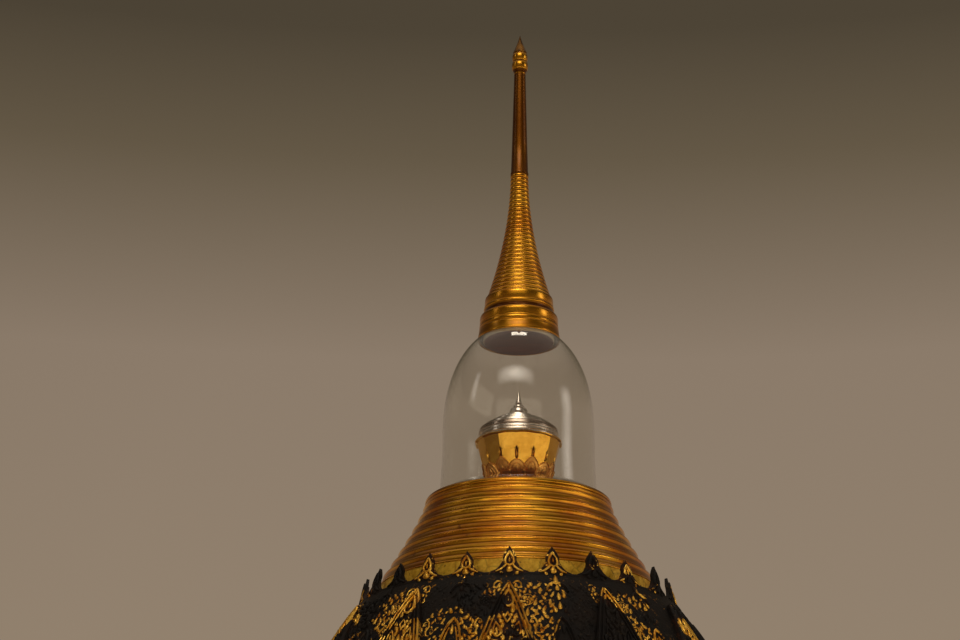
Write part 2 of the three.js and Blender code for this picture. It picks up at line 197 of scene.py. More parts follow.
def lacquer_colours(add, place):
    """Black lacquer over a rough ground, browned and dusty in clouds: colour, roughness and dust."""
    clouds = add("TexNoise", place, 16, 5, 0.65)
    dust = add("TexNoise", place, 90, 3, 0.6)
    colour = add("Mix", add("MapRange", clouds, 0.42, 0.75), "#080402", "#1C120A", data_type="RGBA")
    colour = add("Mix", add("MapRange", dust, 0.62, 0.74, 0.0, 0.5), colour, "#4A3C28",
                 data_type="RGBA")
    return colour, add("MapRange", clouds, 0.3, 0.7, 0.5, 0.7), dust


WEAR_SHIFT = (0.9, 0.6, 0.8)  # moves the worn patches of the gold leaf, m


def leaf_patches(add, place):
    """Where the gold leaf is still there, from 0 to 1. More is kept at the front: painted light on the lit
    side.
    """
    level = add("VectorMath", place, (1, 1, 0), operation="MULTIPLY")
    back = add("SeparateXYZ", add("VectorMath", level, operation="NORMALIZE"), out="Y")
    worn = add("TexNoise", add("Mapping", {"Vector": place, "Location": WEAR_SHIFT}), 9, 3, 0.5)
    # Painted light: the front keeps more leaf than the sides and back.
    kept = add("ADD", worn, add("MapRange", back, -1.0, -0.7, 0.03, -0.06))
    return add("MapRange", kept, 0.44, 0.53)


def black_lacquer(add, place):
    """Rhus lacquer over carved teak: brown black and dull with dust, with brush swell and grit in the
    coat, and grains of gold where the leaf round about is still there."""
    colour, rough, dust = lacquer_colours(add, place)
    flakes = add("TexNoise", place, 85, 4, 0.7)
    grains = add("MULTIPLY", add("MapRange", flakes, 0.61, 0.64), leaf_patches(add, place))
    height = add("ADD", add("TexNoise", place, 60, 4, 0.6), add("MULTIPLY", dust, 0.4))
    return {"Base Color": add("Mix", grains, colour, "#B07A28", data_type="RGBA"),
            "Metallic": add("MULTIPLY", grains, 0.8), "Roughness": rough, "Specular IOR Level": 0.2,
            "Normal": add("Bump", {"Height": height, "Distance": 0.003, "Strength": 0.6})}


def gilded_carving(add, place):
    """Carved teak, lacquered black, with gold leaf on the raised work. The leaf is thick on the tops,
    thin on the flanks, gone in patches, and reddish where the ground shows through. Between gilded
    shapes the ground is red brown where the clay under the leaf is left."""
    dark, rough, _ = lacquer_colours(add, place)
    raised_work = add("Attribute", out="Fac", attribute_name="gilt")
    # The patches carry painted light: more leaf at the lit front.
    patches = leaf_patches(add, place)
    flakes = add("TexNoise", place, 85, 4, 0.7)
    left = add("ADD", raised_work, add("MapRange", patches, 0.0, 1.0, -1.0, 0.25))
    left = add("ADD", left, add("MapRange", flakes, 0.3, 0.7, -0.4, 0.5))
    leaf = add("MapRange", left, 0.5, 0.64)
    clay = add("MULTIPLY", patches, add("MapRange", flakes, 0.4, 0.65, 0.1, 0.9))
    dark = add("Mix", clay, dark, "#4A2208", data_type="RGBA")
    tone = add("TexNoise", place, 34, 3, 0.6)
    rubbed = add("MapRange", add("TexNoise", place, 24, 2, 0.5), 0.56, 0.66, 0.0, 0.7)
    gold = add("Mix", add("MapRange", tone, 0.38, 0.66), "#FFCC58", "#C0801C", data_type="RGBA")
    gold = add("Mix", rubbed, gold, "#A4540E", data_type="RGBA")
    height = add("ADD", add("MULTIPLY", leaf, 0.3), flakes)
    burnish = add("MapRange", tone, 0.3, 0.7, 0.26, 0.42)
    return {"Base Color": add("Mix", leaf, dark, gold, data_type="RGBA"),
            "Metallic": add("MULTIPLY", leaf, 0.92), "Specular IOR Level": 0.2,
            "Roughness": add("Mix", leaf, rough, burnish, data_type="FLOAT"),
            "Normal": add("Bump", {"Height": height, "Distance": 0.0012, "Strength": 0.6})}


def pale_floor(add, place):
    """Trowelled pale cement, lightly polished."""
    clouds = add("MapRange", add("TexNoise", place, 0.8, 4, 0.6), 0.3, 0.7)
    return {"Base Color": add("Mix", clouds, "#B9AFA2", "#C6BDB1", data_type="RGBA"), "Roughness": 0.6}


# The third colour is the grime of the bruises and the painted shade in the grooves.
GOLD = new_material("gilded turned brass", gilded_ring, "#FCBC30", "#C8720A", "#4C1800", 0.23)
# Painted shade: the shaft's gold is darker than the other gold, for the dim room that it mirrors.
SHAFT_GOLD = new_material("gilded plain shaft", gilded_ring, "#8A5410", "#6E3C06", "#4A2804", 0.36)
LEAF_GOLD = new_material("matt gold leaf", matt_gold_leaf)
BOWL_GOLD = new_material("gold plate", plated, "#F6C050", "#E2A436", 0.14, "#8A5014")
CALYX_GOLD = new_material("worn gold plate", plated, "#FFC468", "#C88238", 0.38, "#5A3010")
SILVER = new_material("silver plate", plated, "#FFF8F0", "#E6D6C8", 0.19, "#946C4C")
# Painted shade: this dark bronze is used where the pieces stand in shade.
BRONZE = new_material("darkened bronze", darkened_bronze)
GLASS = new_material("blown clear glass", blown_glass)
WOOD = new_material("plum stained wood", stained_wood)
LACQUER = new_material("black lacquer", black_lacquer)
CARVING = new_material("gold leaf on black lacquer", gilded_carving)
FLOOR = new_material("pale floor", pale_floor)


# Making and keeping pieces

def new_piece(name, points, faces, material, values=None, value_name="recess", sharp=40):
    """A mesh object from points in mm. values is one number a point, kept as an attribute."""
    mesh = bpy.data.meshes.new(name)
    mesh.from_pydata((np.asarray(points, float) * MM).tolist(), [], faces)
    if values is not None:
        kept = mesh.attributes.new(value_name, "FLOAT", "POINT")
        kept.data.foreach_set("value", np.asarray(values, np.float32))
    mesh.materials.append(material)
    mesh.shade_smooth()
    mesh.set_sharp_from_angle(angle=math.radians(sharp))
    piece = bpy.data.objects.new(name, mesh)
    bpy.context.scene.collection.objects.link(piece)
    return piece


def keep(piece, slot, *nodes):
    """Ties a finished piece to the frame."""
    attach(piece, "root")
    if nodes:
        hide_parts(*nodes)


def outward(mesh, close_ends=False):
    """Closes open ends, and turns every face outwards."""
    work = bmesh.new()
    work.from_mesh(mesh)
    if close_ends:
        open_edges = [e for e in work.edges if e.is_boundary]
        bmesh.ops.holes_fill(work, edges=open_edges, sides=0)
    bmesh.ops.recalc_face_normals(work, faces=work.faces)
    work.to_mesh(mesh)
    work.free()


def skin(rows, ring=False):
    """Faces between rows of point numbers that run round a form, all rows as long. A tip is a row of
    one number over and over. A ring joins its last row to its first."""
    faces = []
    for low, high in list(zip(rows, rows[1:])) + ([(rows[-1], rows[0])] if ring else []):
        for i in range(len(low)):
            j = (i + 1) % len(low)
            corners = [low[i], low[j], high[j], high[i]]
            corners = [c for k, c in enumerate(corners) if c != corners[k - 1]]
            if len(set(corners)) > 2:
                faces.append(corners)
    return faces


# Turned pieces: profiles are (radius, height) points in mm, listed upwards along the outside.

def bulge(low, high, height, steps=8, fullness=0.8):
    """Points of a round bulge between two profile points, ends left out."""
    (r0, z0), (r1, z1) = low, high
    length = math.hypot(r1 - r0, z1 - z0)
    out = ((z1 - z0) / length, (r0 - r1) / length)
    points = []
    for i in range(1, steps):
        along = (1 - math.cos(math.pi * i / steps)) / 2
        proud = height * math.sin(math.pi * i / steps) ** fullness
        points.append((r0 + (r1 - r0) * along + out[0] * proud, z0 + (z1 - z0) * along + out[1] * proud))
    return points


def flat(low, high):
    """A straight stretch, with points near its ends so that its shading stays flat."""
    return [(low[0] + (high[0] - low[0]) * t, low[1] + (high[1] - low[1]) * t)
            for t in (0, 0.07, 0.93, 1)]


def groove_depths(profile, reach=9.0, full=4.0):
    """How deep each profile point lies below what stands proud near it, from 0 to 1. It is used as painted
    shade in the grooves.
    """
    line = np.array(profile, float)
    depths = []
    for r, z in line:
        near = line[np.abs(line[:, 1] - z) < reach]
        depths.append(min(1.0, max(0.0, (near[:, 0].max() - r) / full)))
    return depths


def turned(name, profile, material, sides=160, grime_and_painted_light=None, sharp=40, first=0.0):
    """Turns a profile round the Z axis, with its first corner some sides on from the front. A profile
    that ends where it starts makes a ring; any other is closed to the axis."""
    ring = profile[0] == profile[-1]
    line = list(profile[:-1]) if ring else [(0, profile[0][1]), *profile, (0, profile[-1][1])]
    # Each point's share of painted light goes into the recess attribute: by default, painted shade by how
    # deep it lies in a groove.
    depths = groove_depths(line) if grime_and_painted_light is None else list(np.broadcast_to(grime_and_painted_light, len(line)))
    points, values, rows = [], [], []
    angles = (np.arange(sides) + first) * 2 * math.pi / sides
    for (radius, height), depth in zip(line, depths):
        if radius == 0:
            rows.append([len(points)] * sides)
            points.append((0, 0, height))
            values.append(0.0)
            continue
        rows.append(range(len(points), len(points) + sides))
        points += [(radius * math.sin(a), -radius * math.cos(a), height) for a in angles]
        values += [depth] * sides
    return new_piece(name, points, skin(rows, ring), material, values, sharp=sharp)


# Geometry Nodes

def new_tree(name, inputs):
    """A tree with named inputs, given as (label, kind) pairs, and its way to add a node."""
    tree = bpy.data.node_groups.new(name, "GeometryNodeTree")
    tree.interface.new_socket("Geometry", in_out="OUTPUT", socket_type="NodeSocketGeometry")
    for label, kind in inputs:
        tree.interface.new_socket(label, in_out="INPUT", socket_type=f"NodeSocket{kind}")
    add = partial(add_node, tree)
    return tree, add, add("NodeGroupInput", out=None).outputs


def close_tree(add, given, made):
    """Makes copies real, coats the result with the given material and ends the tree."""
    whole = add("GeometryNodeRealizeInstances", made)
    coated = add("GeometryNodeSetMaterial", {"Geometry": whole, "Material": given["Material"]})
    add("NodeGroupOutput", coated, out=None)


def run_tree(tree, piece, values, close_ends=False, sharp=40):
    """Runs a tree on a piece with its inputs set, and keeps the result as the piece's plain mesh."""
    modifier = piece.modifiers.new(tree.name, "NODES")
    modifier.node_group = tree
    sockets = {s.name: s.identifier for s in tree.interface.items_tree
               if s.item_type == "SOCKET" and s.in_out == "INPUT"}
    for label, value in values.items():
        modifier[sockets[label]] = value
    graph = bpy.context.evaluated_depsgraph_get()
    made = bpy.data.meshes.new_from_object(
        piece.evaluated_get(graph), preserve_all_data_layers=True, depsgraph=graph)
    piece.modifiers.clear()
    piece.data = made
    made.name = piece.name
    outward(made, close_ends)
    made.shade_smooth()
    made.set_sharp_from_angle(angle=math.radians(sharp))
    return piece


def ring_stack_tree():
    """A stack of turned rings. The groove line flares from head to foot by a power rule, and each
    ring stands proud of it over a flatter bead."""
    tree, add, given = new_tree("ring stack", [
        ("Rings", "Int"), ("Steps", "Int"), ("Sides", "Int"), ("Foot Height", "Float"),
        ("Head Height", "Float"), ("Foot Radius", "Float"), ("Head Radius", "Float"),
        ("Flare", "Float"), ("Bead Share", "Float"), ("Ring Bulge", "Float"),
        ("Bead Bulge", "Float"), ("Fullness", "Float"), ("Material", "Material")])
    grid = add("GeometryNodeMeshGrid", {
        "Size X": 1.0, "Size Y": 1.0, "Vertices X": add("ADD", given["Sides"], 1.0),
        "Vertices Y": add("ADD", add("MULTIPLY", given["Rings"], given["Steps"]), 1.0)}, out="Mesh")
    here = add("SeparateXYZ", add("GeometryNodeInputPosition"), out=None).outputs
    angle = add("MULTIPLY", add("ADD", here["X"], 0.5), 2 * math.pi)
    up = add("ADD", here["Y"], 0.5)
    down = add("SUBTRACT", 1.0, up)
    height = add("SUBTRACT", given["Head Height"], given["Foot Height"])
    widening = add("SUBTRACT", given["Foot Radius"], given["Head Radius"])
    flared = add("MULTIPLY", widening, add("POWER", down, given["Flare"]))
    line = add("ADD", given["Head Radius"], flared)
    lean = add("POWER", down, add("SUBTRACT", given["Flare"], 1.0))
    lean = add("DIVIDE", add("MULTIPLY", add("MULTIPLY", lean, given["Flare"]), widening), height)
    length = add("SQRT", add("ADD", 1.0, add("MULTIPLY", lean, lean)))
    within = add("FRACT", add("MULTIPLY", up, given["Rings"]))

    def swell(start, end):
        wave = add("SINE", add("MULTIPLY", add("MapRange", within, start, end), math.pi))
        return add("POWER", add("MAXIMUM", wave, 0.0), given["Fullness"])

    ring, bead = swell(given["Bead Share"], 1.0), swell(0.0, given["Bead Share"])
    proud = add("ADD", add("MULTIPLY", ring, given["Ring Bulge"]),
                add("MULTIPLY", bead, given["Bead Bulge"]))
    radius = add("ADD", line, add("DIVIDE", proud, length))
    rise = add("DIVIDE", add("MULTIPLY", proud, lean), length)
    level = add("ADD", add("ADD", given["Foot Height"], add("MULTIPLY", up, height)), rise)
    shown = add("ADD", ring, add("MULTIPLY", bead, 0.42))  # the bead is painted with some shade all over
    depth = add("SUBTRACT", 1.0, add("DIVIDE", shown, 0.6))
    # The recess attribute here is painted shade, deepest in the grooves between the rings.
    marked = add("GeometryNodeStoreNamedAttribute", {
        "Geometry": grid, "Name": "recess", "Value": add("MAXIMUM", depth, 0.0)},
        data_type="FLOAT", domain="POINT")
    put = add("CombineXYZ", add("MULTIPLY", radius, add("SINE", angle)),
              add("MULTIPLY", radius, add("MULTIPLY", add("COSINE", angle), -1.0)), level)
    shaped = add("GeometryNodeSetPosition", {"Geometry": marked, "Position": put})
    seam = {"Geometry": shaped, "Distance": 0.00001}
    close_tree(add, given, add("GeometryNodeMergeByDistance", seam))
    return tree


def set_round_tree():
    """Sets copies of a carved piece evenly round the Z axis. Each may lean a little, as hand work
    does."""
    tree, add, given = new_tree("set round the axis", [
        ("Geometry", "Geometry"), ("Count", "Int"), ("Turn", "Float"), ("Lean", "Float"),
        ("Seed", "Int"), ("Material", "Material")])

    def lean(offset):
        """A random lean either way, for each copy."""
        number = add("FunctionNodeRandomValue", {
            "Min": -1.0, "Max": 1.0, "Seed": add("ADD", given["Seed"], offset)})
        return add("MULTIPLY", number, given["Lean"])

    painted_dark_tone = add("GeometryNodeMeshLine", {"Count": given["Count"], "Offset": (0, 0, 0)}, mode="OFFSET")
    share = add("DIVIDE", add("MULTIPLY", add("GeometryNodeInputIndex"), 2 * math.pi), given["Count"])
    turn = add("CombineXYZ", lean(0), lean(1), add("ADD", given["Turn"], share))
    close_tree(add, given, add("GeometryNodeInstanceOnPoints", {
        "Points": painted_dark_tone, "Instance": given["Geometry"], "Rotation": turn}))
    return tree


RING_STACK = ring_stack_tree()
SET_ROUND = set_round_tree()


def set_round(piece, count, turn=0.0, lean=0.0, material=CARVING):
    """Repeats a piece round the axis, with angles in degrees."""
    return run_tree(SET_ROUND, piece, {
        "Count": count, "Turn": math.radians(turn), "Lean": math.radians(lean), "Seed": 1,
        "Material": material}, sharp=50)


def ring_stack(name, material, **sizes):
    """A stack of turned rings: keys are the tree's inputs, with lengths in metres."""
    piece = new_piece(name, [(0, 0, 0)], [], material)
    values = {key.replace("_", " ").title(): value for key, value in sizes.items()}
    return run_tree(RING_STACK, piece, {**values, "Material": material}, close_ends=True)


# Carving: drawn flat as (across, up) in mm, then laid on the surface that it belongs to.

# Sections are (share of half width, share of height, gilding); the edges are let into the ground.
BEAD = [(-1, None, 0.0), (-0.62, 0.78, 0.9), (0, 1.0, 1.0), (0.62, 0.78, 0.9), (1, None, 0.0)]
SLAB, PLATE = ([(-1, None, 0.0), (-0.97, 0.9, rim), (-0.5, 1.0, 0.0), (0, 1.0, 0.0), (0.5, 1.0, 0.0),
                (0.97, 0.9, rim), (1, None, 0.0)] for rim in (0.35, 0.1))


class Carving:
    """Raised work as a mesh of points (across, up, height, gilding)."""

    def __init__(self):
        self.points = []
        self.faces = []

    def take(self, points, faces):
        """Adds a mesh."""
        first = len(self.points)
        self.points += points
        self.faces += [[first + i for i in face] for face in faces]

    def ridge(self, path, half, height, section=BEAD, closed=False):
        """Raised work along a path: a line, a border, a tendril or, with a changing width, a leaf."""
        path = np.asarray(path, float)
        count, wide = len(path), len(section)
        half = np.maximum(np.broadcast_to(half, count), 0.25)
        height = np.broadcast_to(height, count)
        ahead = np.roll(path, -1, 0) - path
        behind = path - np.roll(path, 1, 0)
        if not closed:
            ahead[-1], behind[0] = behind[-1], ahead[0]
        unit = lambda v: v / np.maximum(np.linalg.norm(v, axis=1, keepdims=True), 1e-9)
        along = unit(unit(ahead) + unit(behind))
        side = np.stack([along[:, 1], -along[:, 0]], 1)
        points = []
        for i in range(count):
            for offset, rise, gilt in section:
                x, z = path[i] + side[i] * half[i] * offset
                points.append((x, z, -SINK if rise is None else height[i] * rise, gilt))
        rows = [range(i * wide, (i + 1) * wide) for i in range(count)]
        self.take(points, skin(rows, closed) + ([] if closed else [rows[0][::-1], rows[-1]]))

    def boss(self, outline, height, gilt=1.0):
        """A cushion of the given outline."""
        outline = np.asarray(outline, float)
        centre, count = outline.mean(0), len(outline)
        points = []
        for size, rise, shade in ((1.0, None, 0.0), (0.86, 0.6, 0.85), (0.5, 0.93, 1.0)):
            level = -SINK if rise is None else height * rise
            for x, z in centre + (outline - centre) * size:
                points.append((x, z, level, shade * gilt))
        points.append((*centre, height, gilt))
        rows = [range(k * count, (k + 1) * count) for k in range(3)]
        self.take(points, [rows[0][::-1], *skin(rows + [[3 * count] * count])])

    def mirror(self):
        """Adds everything again on the other side of the middle line."""
        self.take([(-x, z, h, g) for x, z, h, g in self.points], [face[::-1] for face in self.faces])

    def piece(self, name, place, material=CARVING):
        """The carving as an object. place lays across, up and proud in mm on a surface."""
        drawn = np.array(self.points, float)
        made = new_piece(name, place(drawn[:, 0], drawn[:, 1], drawn[:, 2]), self.faces, material,
                         drawn[:, 3], "gilt", 50)
        outward(made.data)
        return made


def drop(x, z, half, tall, lean=0.0, count=14):
    """Outline of a drop with its point up, leaning to the right by an angle in degrees."""
    around = np.arange(count) * 2 * math.pi / count
    flat = np.stack([-half * np.sin(around) * np.sin(around / 2) ** 1.1 * 1.25,
                     tall * np.cos(around)], 1)
    return spun(flat, -lean) + (x, z)


def lozenge(x, z, half, tall, hollow=2.3, count=16):
    """Outline of a diamond; with hollow at 1 it is an ellipse, and above 2 its sides draw in."""
    around = np.arange(count) * 2 * math.pi / count
    reach = lambda v: np.sign(v) * np.abs(v) ** hollow
    return np.stack([half * reach(np.cos(around)), tall * reach(np.sin(around))], 1) + (x, z)


def disc(x, z, radius, count=16):
    """Outline of a circle."""
    return lozenge(x, z, radius, radius, 1.0, count)


def middle(up):
    """A path up the middle line."""
    return np.stack([np.zeros(len(up)), up], 1)


def spun(points, degrees):
    a = math.radians(degrees)
    return np.asarray(points) @ np.array([[math.cos(a), math.sin(a)], [-math.sin(a), math.cos(a)]])


def curl(x, z, size, start, turns, hand=1, steps=16):
    """A tendril that winds in to (x, z), from an angle in degrees, with its half widths."""
    share = np.linspace(0, 1, steps)
    radius = size * (1 - 0.86 * share ** 0.8)
    angle = math.radians(start) + hand * 2 * math.pi * turns * share
    path = np.stack([x + radius * np.cos(angle), z + radius * np.sin(angle)], 1)
    return path, size * (0.2 + 0.08 * np.sin(share * math.pi))


def flame(foot, tip, bow, half, steps=9):
    """A leaf that bows sideways between two points, with its half widths."""
    foot, tip = np.array(foot, float), np.array(tip, float)
    share = np.linspace(0, 1, steps)[:, None]
    side = np.array([tip[1] - foot[1], foot[0] - tip[0]]) * bow
    path = foot + (tip - foot) * share + side * np.sin(share * math.pi * 0.85)
    return path, half * np.sin(share[:, 0] ** 0.7 * math.pi * 0.97 + 0.08)


SLOPE_REACH = 2  # how far above and below a point its slope is taken, mm


def on_side(profile):
    """A way to lay carving on a turned surface. profile is (radius, height) points, upwards."""
    radii, heights = np.array(profile, float).T

    def place(across, up, proud, grown=0.0):
        radius = np.interp(up, heights, radii)
        over, under = up + SLOPE_REACH, up - SLOPE_REACH
        run = np.minimum(over, heights[-1]) - np.maximum(under, heights[0])
        change = np.interp(over, heights, radii) - np.interp(under, heights, radii)
        slope = change / np.maximum(run, 1e-6)
        length = np.sqrt(1 + slope ** 2)
        reach = radius + (proud + grown) / length
        inward = np.minimum(np.abs(across), reach * 0.98)
        return np.stack([across, -np.sqrt(reach ** 2 - inward ** 2),
                         up - slope * (proud + grown) / length], 1)
    return place


def raised(place, grown):
    """The same surface, raised by some mm."""
    return lambda across, up, proud: place(across, up, proud, grown)


def on_flat(out):
    """A way to lay carving on a flat face that looks to the front, out mm from the axis."""
    return lambda across, up, proud: np.stack([across, -(out + proud), up], 1)


def keep_round(carving, name, place, count, *nodes, **how):
    """Lays a carving on a surface, repeats it round the axis and keeps it."""
    keep(set_round(carving.piece(name, place), count, **how), "gilded_carving", *nodes)


# Spire and finial

CONE_FOOT, CONE_TIP, CONE_RADIUS = 3154, 3207, 18
cone = [(15, 3149), (17.2, 3150.5), (18, 3152.5)]
cone += [(CONE_RADIUS * (1 - t) ** 1.2 + 0.7, CONE_FOOT + (CONE_TIP - CONE_FOOT) * t)
         for t in np.linspace(0, 1, 14)]
keep(turned("cone_point", cone + [(0.3, 3208)], BRONZE, 64), "dark_bronze", "finial_cone")

beads = [(15.3, 3088), (15.8, 3093), (17.4, 3098), (18, 3100), *bulge((18, 3100), (18, 3125), 3.6),
         (18, 3125), (17.2, 3126), (18, 3127), *bulge((18, 3127), (18, 3149), 2.5), (18, 3149)]
keep(turned("spire_beads", beads, GOLD, 96), "gold", "finial_beads")

shaft = [(22.5, 2790), (23.6, 2791), (23.6, 2795), (22.4, 2798), (20.2, 2880), (17.7, 2985),
         (15.3, 3088)]
keep(turned("plain_shaft", shaft, SHAFT_GOLD, 96, grime_and_painted_light=0.0), "gold", "spire_shaft")

spire = ring_stack(
    "spire_rings", GOLD, rings=28, steps=8, sides=112, foot_height=2.438, head_height=2.79,
    foot_radius=0.08, head_radius=0.021, flare=1.9, bead_share=0.0, ring_bulge=0.0028,
    bead_bulge=0.0, fullness=0.45)
keep(spire, "gold", "spire_rings_lower", "spire_rings_upper")

wide = [(87, 2412.4), (87.9, 2413), (88.2, 2415), (88.1, 2422), (87.7, 2429), (87.2, 2433.5),
        (86.2, 2436.4), (84.4, 2437.8), (82, 2438)]
keep(turned("wide_spire_ring", wide, GOLD), "gold", "spire_wide_ring")

moulding = [(99.6, 2362), (100.3, 2363), (99.9, 2364.4), (100.1, 2365.6), (100.1, 2370), (100, 2376),
            (99.9, 2380.4), (99.4, 2383.4), (98.4, 2385.9), (96.4, 2388.2), (93, 2390),
            (89.6, 2391.6), (87.6, 2394), (87, 2397.4), (87, 2400), (87.6, 2402.2), (89, 2403.8),
            (90.1, 2405), (90.3, 2406.6), (90, 2408.4), (89.5, 2410.6), (88.6, 2412), (87, 2412.4)]
keep(turned("spire_base_moulding", moulding, GOLD), "gold", "spire_moulding")

skirt = [(91.2, 2331.6), (94.2, 2331.6), (99.6, 2328), (104.6, 2322.8), (105.3, 2322.8),
         (106, 2324.4), (105.2, 2327.6), (104.3, 2331.4), (103.4, 2335.6), (102.7, 2340),
         (102.3, 2344), (102.1, 2346.4), (101.7, 2347.8), (100.7, 2348.6), (100.6, 2349.6),
         (101.1, 2350.6), (101.3, 2354), (101, 2358), (100.2, 2361), (99.6, 2362), (91.2, 2362),
         (91.2, 2331.6)]
keep(turned("flared_skirt", skirt, GOLD), "gold", "spire_skirt")


# Glass dome, open at the top, and the plug of the spire in its mouth

GLASS_RADIUS, GLASS_CENTRE, GLASS_HEIGHT, GLASS_POWER, GLASS_WALL = 190, 2080, 280, 2.2, 5
GLASS_MOUTH = 94
GLASS_SIDE = [(194.6, 1895.6), (194.4, 1915), (193, 1948), (191, 1985), (190.3, 2030)]


def glass_skin(inset, steps=36):
    """One skin of the blown shell, from its foot to its mouth: a full shoulder, drawn in by a power
    rule. The inner one is inset at the foot; blown glass thins to half towards the mouth."""
    turns = np.linspace(0, math.acos((GLASS_MOUTH / GLASS_RADIUS) ** (GLASS_POWER / 2)), steps)
    thin = inset * (1 - 0.5 * turns / turns[-1])
    crown = [((GLASS_RADIUS - gone) * math.cos(a) ** (2 / GLASS_POWER),
              GLASS_CENTRE + (GLASS_HEIGHT - gone) * math.sin(a) ** (2 / GLASS_POWER))
             for a, gone in zip(turns, thin)]
    return [(radius - inset, height) for radius, height in GLASS_SIDE] + crown


outer, inner = glass_skin(0), glass_skin(GLASS_WALL)
foot_roll = [(190.4, 1894.4), (192.2, 1894), (193.8, 1894.4)]
mouth_roll = [(93, 2331), (91.7, 2329.4)]
shell = [*foot_roll, *outer, *mouth_roll, *inner[::-1], foot_roll[0]]
keep(turned("clear_dome", shell, GLASS, 160, grime_and_painted_light=0.0), "clear_glass", "glass_wall", "glass_crown")

plug = [(60, 2317.4), (61, 2317), (86.6, 2317), (87.4, 2317.2), (89, 2317.8), (90.4, 2319.4),
        (90.6, 2322), (90.6, 2361), (80, 2361), (80, 2395)]
# Painted reflection: the side of the plug in the glass mouth is pale, for the glare on the glass there.
painted_glare_side = [0, 0, 0, 0, 0, 0.5, 1, 1, 1, 0, 0, 0]
keep(turned("plum_seat", plug, WOOD, grime_and_painted_light=painted_glare_side), "dark_wood", "spire_seat")


# Relic casket

PETAL_COUNT = 14
BOWL_LINE = [(54, 1952), (64, 1952.6), (72, 1954.6), (78, 1958.4), (82.6, 1964.4), (86, 1973),
             (88.8, 1984), (92.4, 1997), (96, 2010), (99, 2021), (101.6, 2031), (103.6, 2039),
             (104.6, 2043.6), (105.4, 2046.6), (108.8, 2047.2), (110.2, 2048.2), (110.2, 2050.8),
             (109.2, 2052), (106, 2052.4)]
# Heights in mm: where the petals grow flat across and over how much, the middle and half height of
# the lens in each seam, and where the rim starts to dip and over how much
FLAT_FROM, FLAT_OVER, LENS_AT, LENS_REACH, DIP_FROM, DIP_OVER = 1960, 40, 1997, 17, 2020, 32
FLATNESS, SLIT_DEPTH, DIP = 0.62, 5, 2.2
LENS_HALF, SEAM_HALF, DRAWN_IN = 0.2, 0.1, 0.018  # as shares of a petal's half width and of the radius


def lotus_bowl():
    """Fourteen upright petals side by side, nearly flat across: they meet in crisp seams, a slit like
    a lens opens low in each seam, and the thin rim rises and dips a little with the petals."""
    marks = [-1, -0.97, -0.9, -0.78, -0.6, -0.3, 0, 0.3, 0.6, 0.78, 0.9, 0.97]
    radii, heights = np.array(BOWL_LINE).T
    outside = [(r, z) for r, z in BOWL_LINE if z < 1975]
    outside += [(np.interp(z, heights, radii), z) for z in np.linspace(1978, 2018, 21)]
    outside += [(r, z) for r, z in BOWL_LINE if z > 2018]
    inside = [(103.4, 2051.6), (102, 2049), (100, 2045), (95, 2034), (84, 2000), (66, 1964)]
    points, values, rows = [], [], []

    def add_row(radius, level, hollow, is_inside):
        share = min(1.0, max(0.0, (level - FLAT_FROM) / FLAT_OVER))
        lens = max(0.0, 1 - ((level - LENS_AT) / LENS_REACH) ** 2) if not is_inside else 0.0
        row = []
        for petal in range(PETAL_COUNT):
            for u in marks:
                turn = (petal + 0.5 + u / 2) * 2 * math.pi / PETAL_COUNT
                level_out = 1 / math.cos(math.pi / PETAL_COUNT * u)
                level_out = 1 + (level_out - 1) * FLATNESS * share
                slit = max(0.0, (abs(u) - (1 - LENS_HALF * lens)) / SEAM_HALF) if lens > 0 else 0.0
                dip = DIP * abs(u) ** 2 * max(0.0, (level - DIP_FROM) / DIP_OVER)
                reach = radius * (level_out - DRAWN_IN) - SLIT_DEPTH * min(slit, 1.0)
                row.append(len(points))
                points.append((reach * math.sin(turn), -reach * math.cos(turn), level - dip))
                # Painted shade: the inside gets a little and each lens slit gets much, kept as the recess
                # attribute.
                values.append(hollow or min(1.0, 1.2 * min(slit, 1.0)))
        rows.append(row)

    for radius, level in outside:
        add_row(radius, level, 0.0, False)
    for radius, level in inside:
        add_row(radius, level, 0.3, True)
    faces = [rows[0][::-1], rows[-1], *skin(rows)]
    return new_piece("lotus_bowl", points, faces, BOWL_GOLD, values, sharp=30)


keep(lotus_bowl(), "polished_gold", "casket_bowl")

# Leaves that wrap the bowl's underside: low broad ones on every other seam, tall ones between them
CALYX_FOOT, CALYX_SHOULDER = 1953.4, 1956  # a leaf's foot, and where it starts to draw in, mm
CALYX_RADIUS = 87  # of the bowl where a leaf has its full width, mm
BOWL_RADII, BOWL_HEIGHTS = np.array(BOWL_LINE, float).T


def calyx_leaf(apex, half, lift, point):
    """One leaf with a raised edge, an inner arch and a drop. It narrows with the bowl's radius
    towards its foot; a low value of point makes its head sharper."""
    leaf = Carving()
    up = CALYX_FOOT + (apex - CALYX_FOOT) * np.array(
        [0, 0.03, 0.07, 0.13, 0.2, 0.3, 0.42, 0.54, 0.66, 0.77, 0.87, 0.94, 0.985])
    narrow = np.interp(up, BOWL_HEIGHTS, BOWL_RADII) / CALYX_RADIUS
    share = np.maximum(up - CALYX_SHOULDER, 0.0) / (apex - CALYX_SHOULDER)
    wide = half * narrow * (1 - share ** point) ** 0.62
    leaf.ridge(middle(up), wide, lift, SLAB)
    edge = np.concatenate([np.stack([-wide, up], 1), [(0, apex)], np.stack([wide, up], 1)[::-1]])
    leaf.ridge(edge, 1.5, lift + 1.9)
    leaf.ridge(edge[3:-3] * (0.6, 0.7) + (0, CALYX_FOOT * 0.3), 1.1, lift + 1.3)
    leaf.boss(drop(0, CALYX_FOOT + (apex - CALYX_FOOT) * 0.34, 4.2, 7), lift + 1.8)
    return leaf


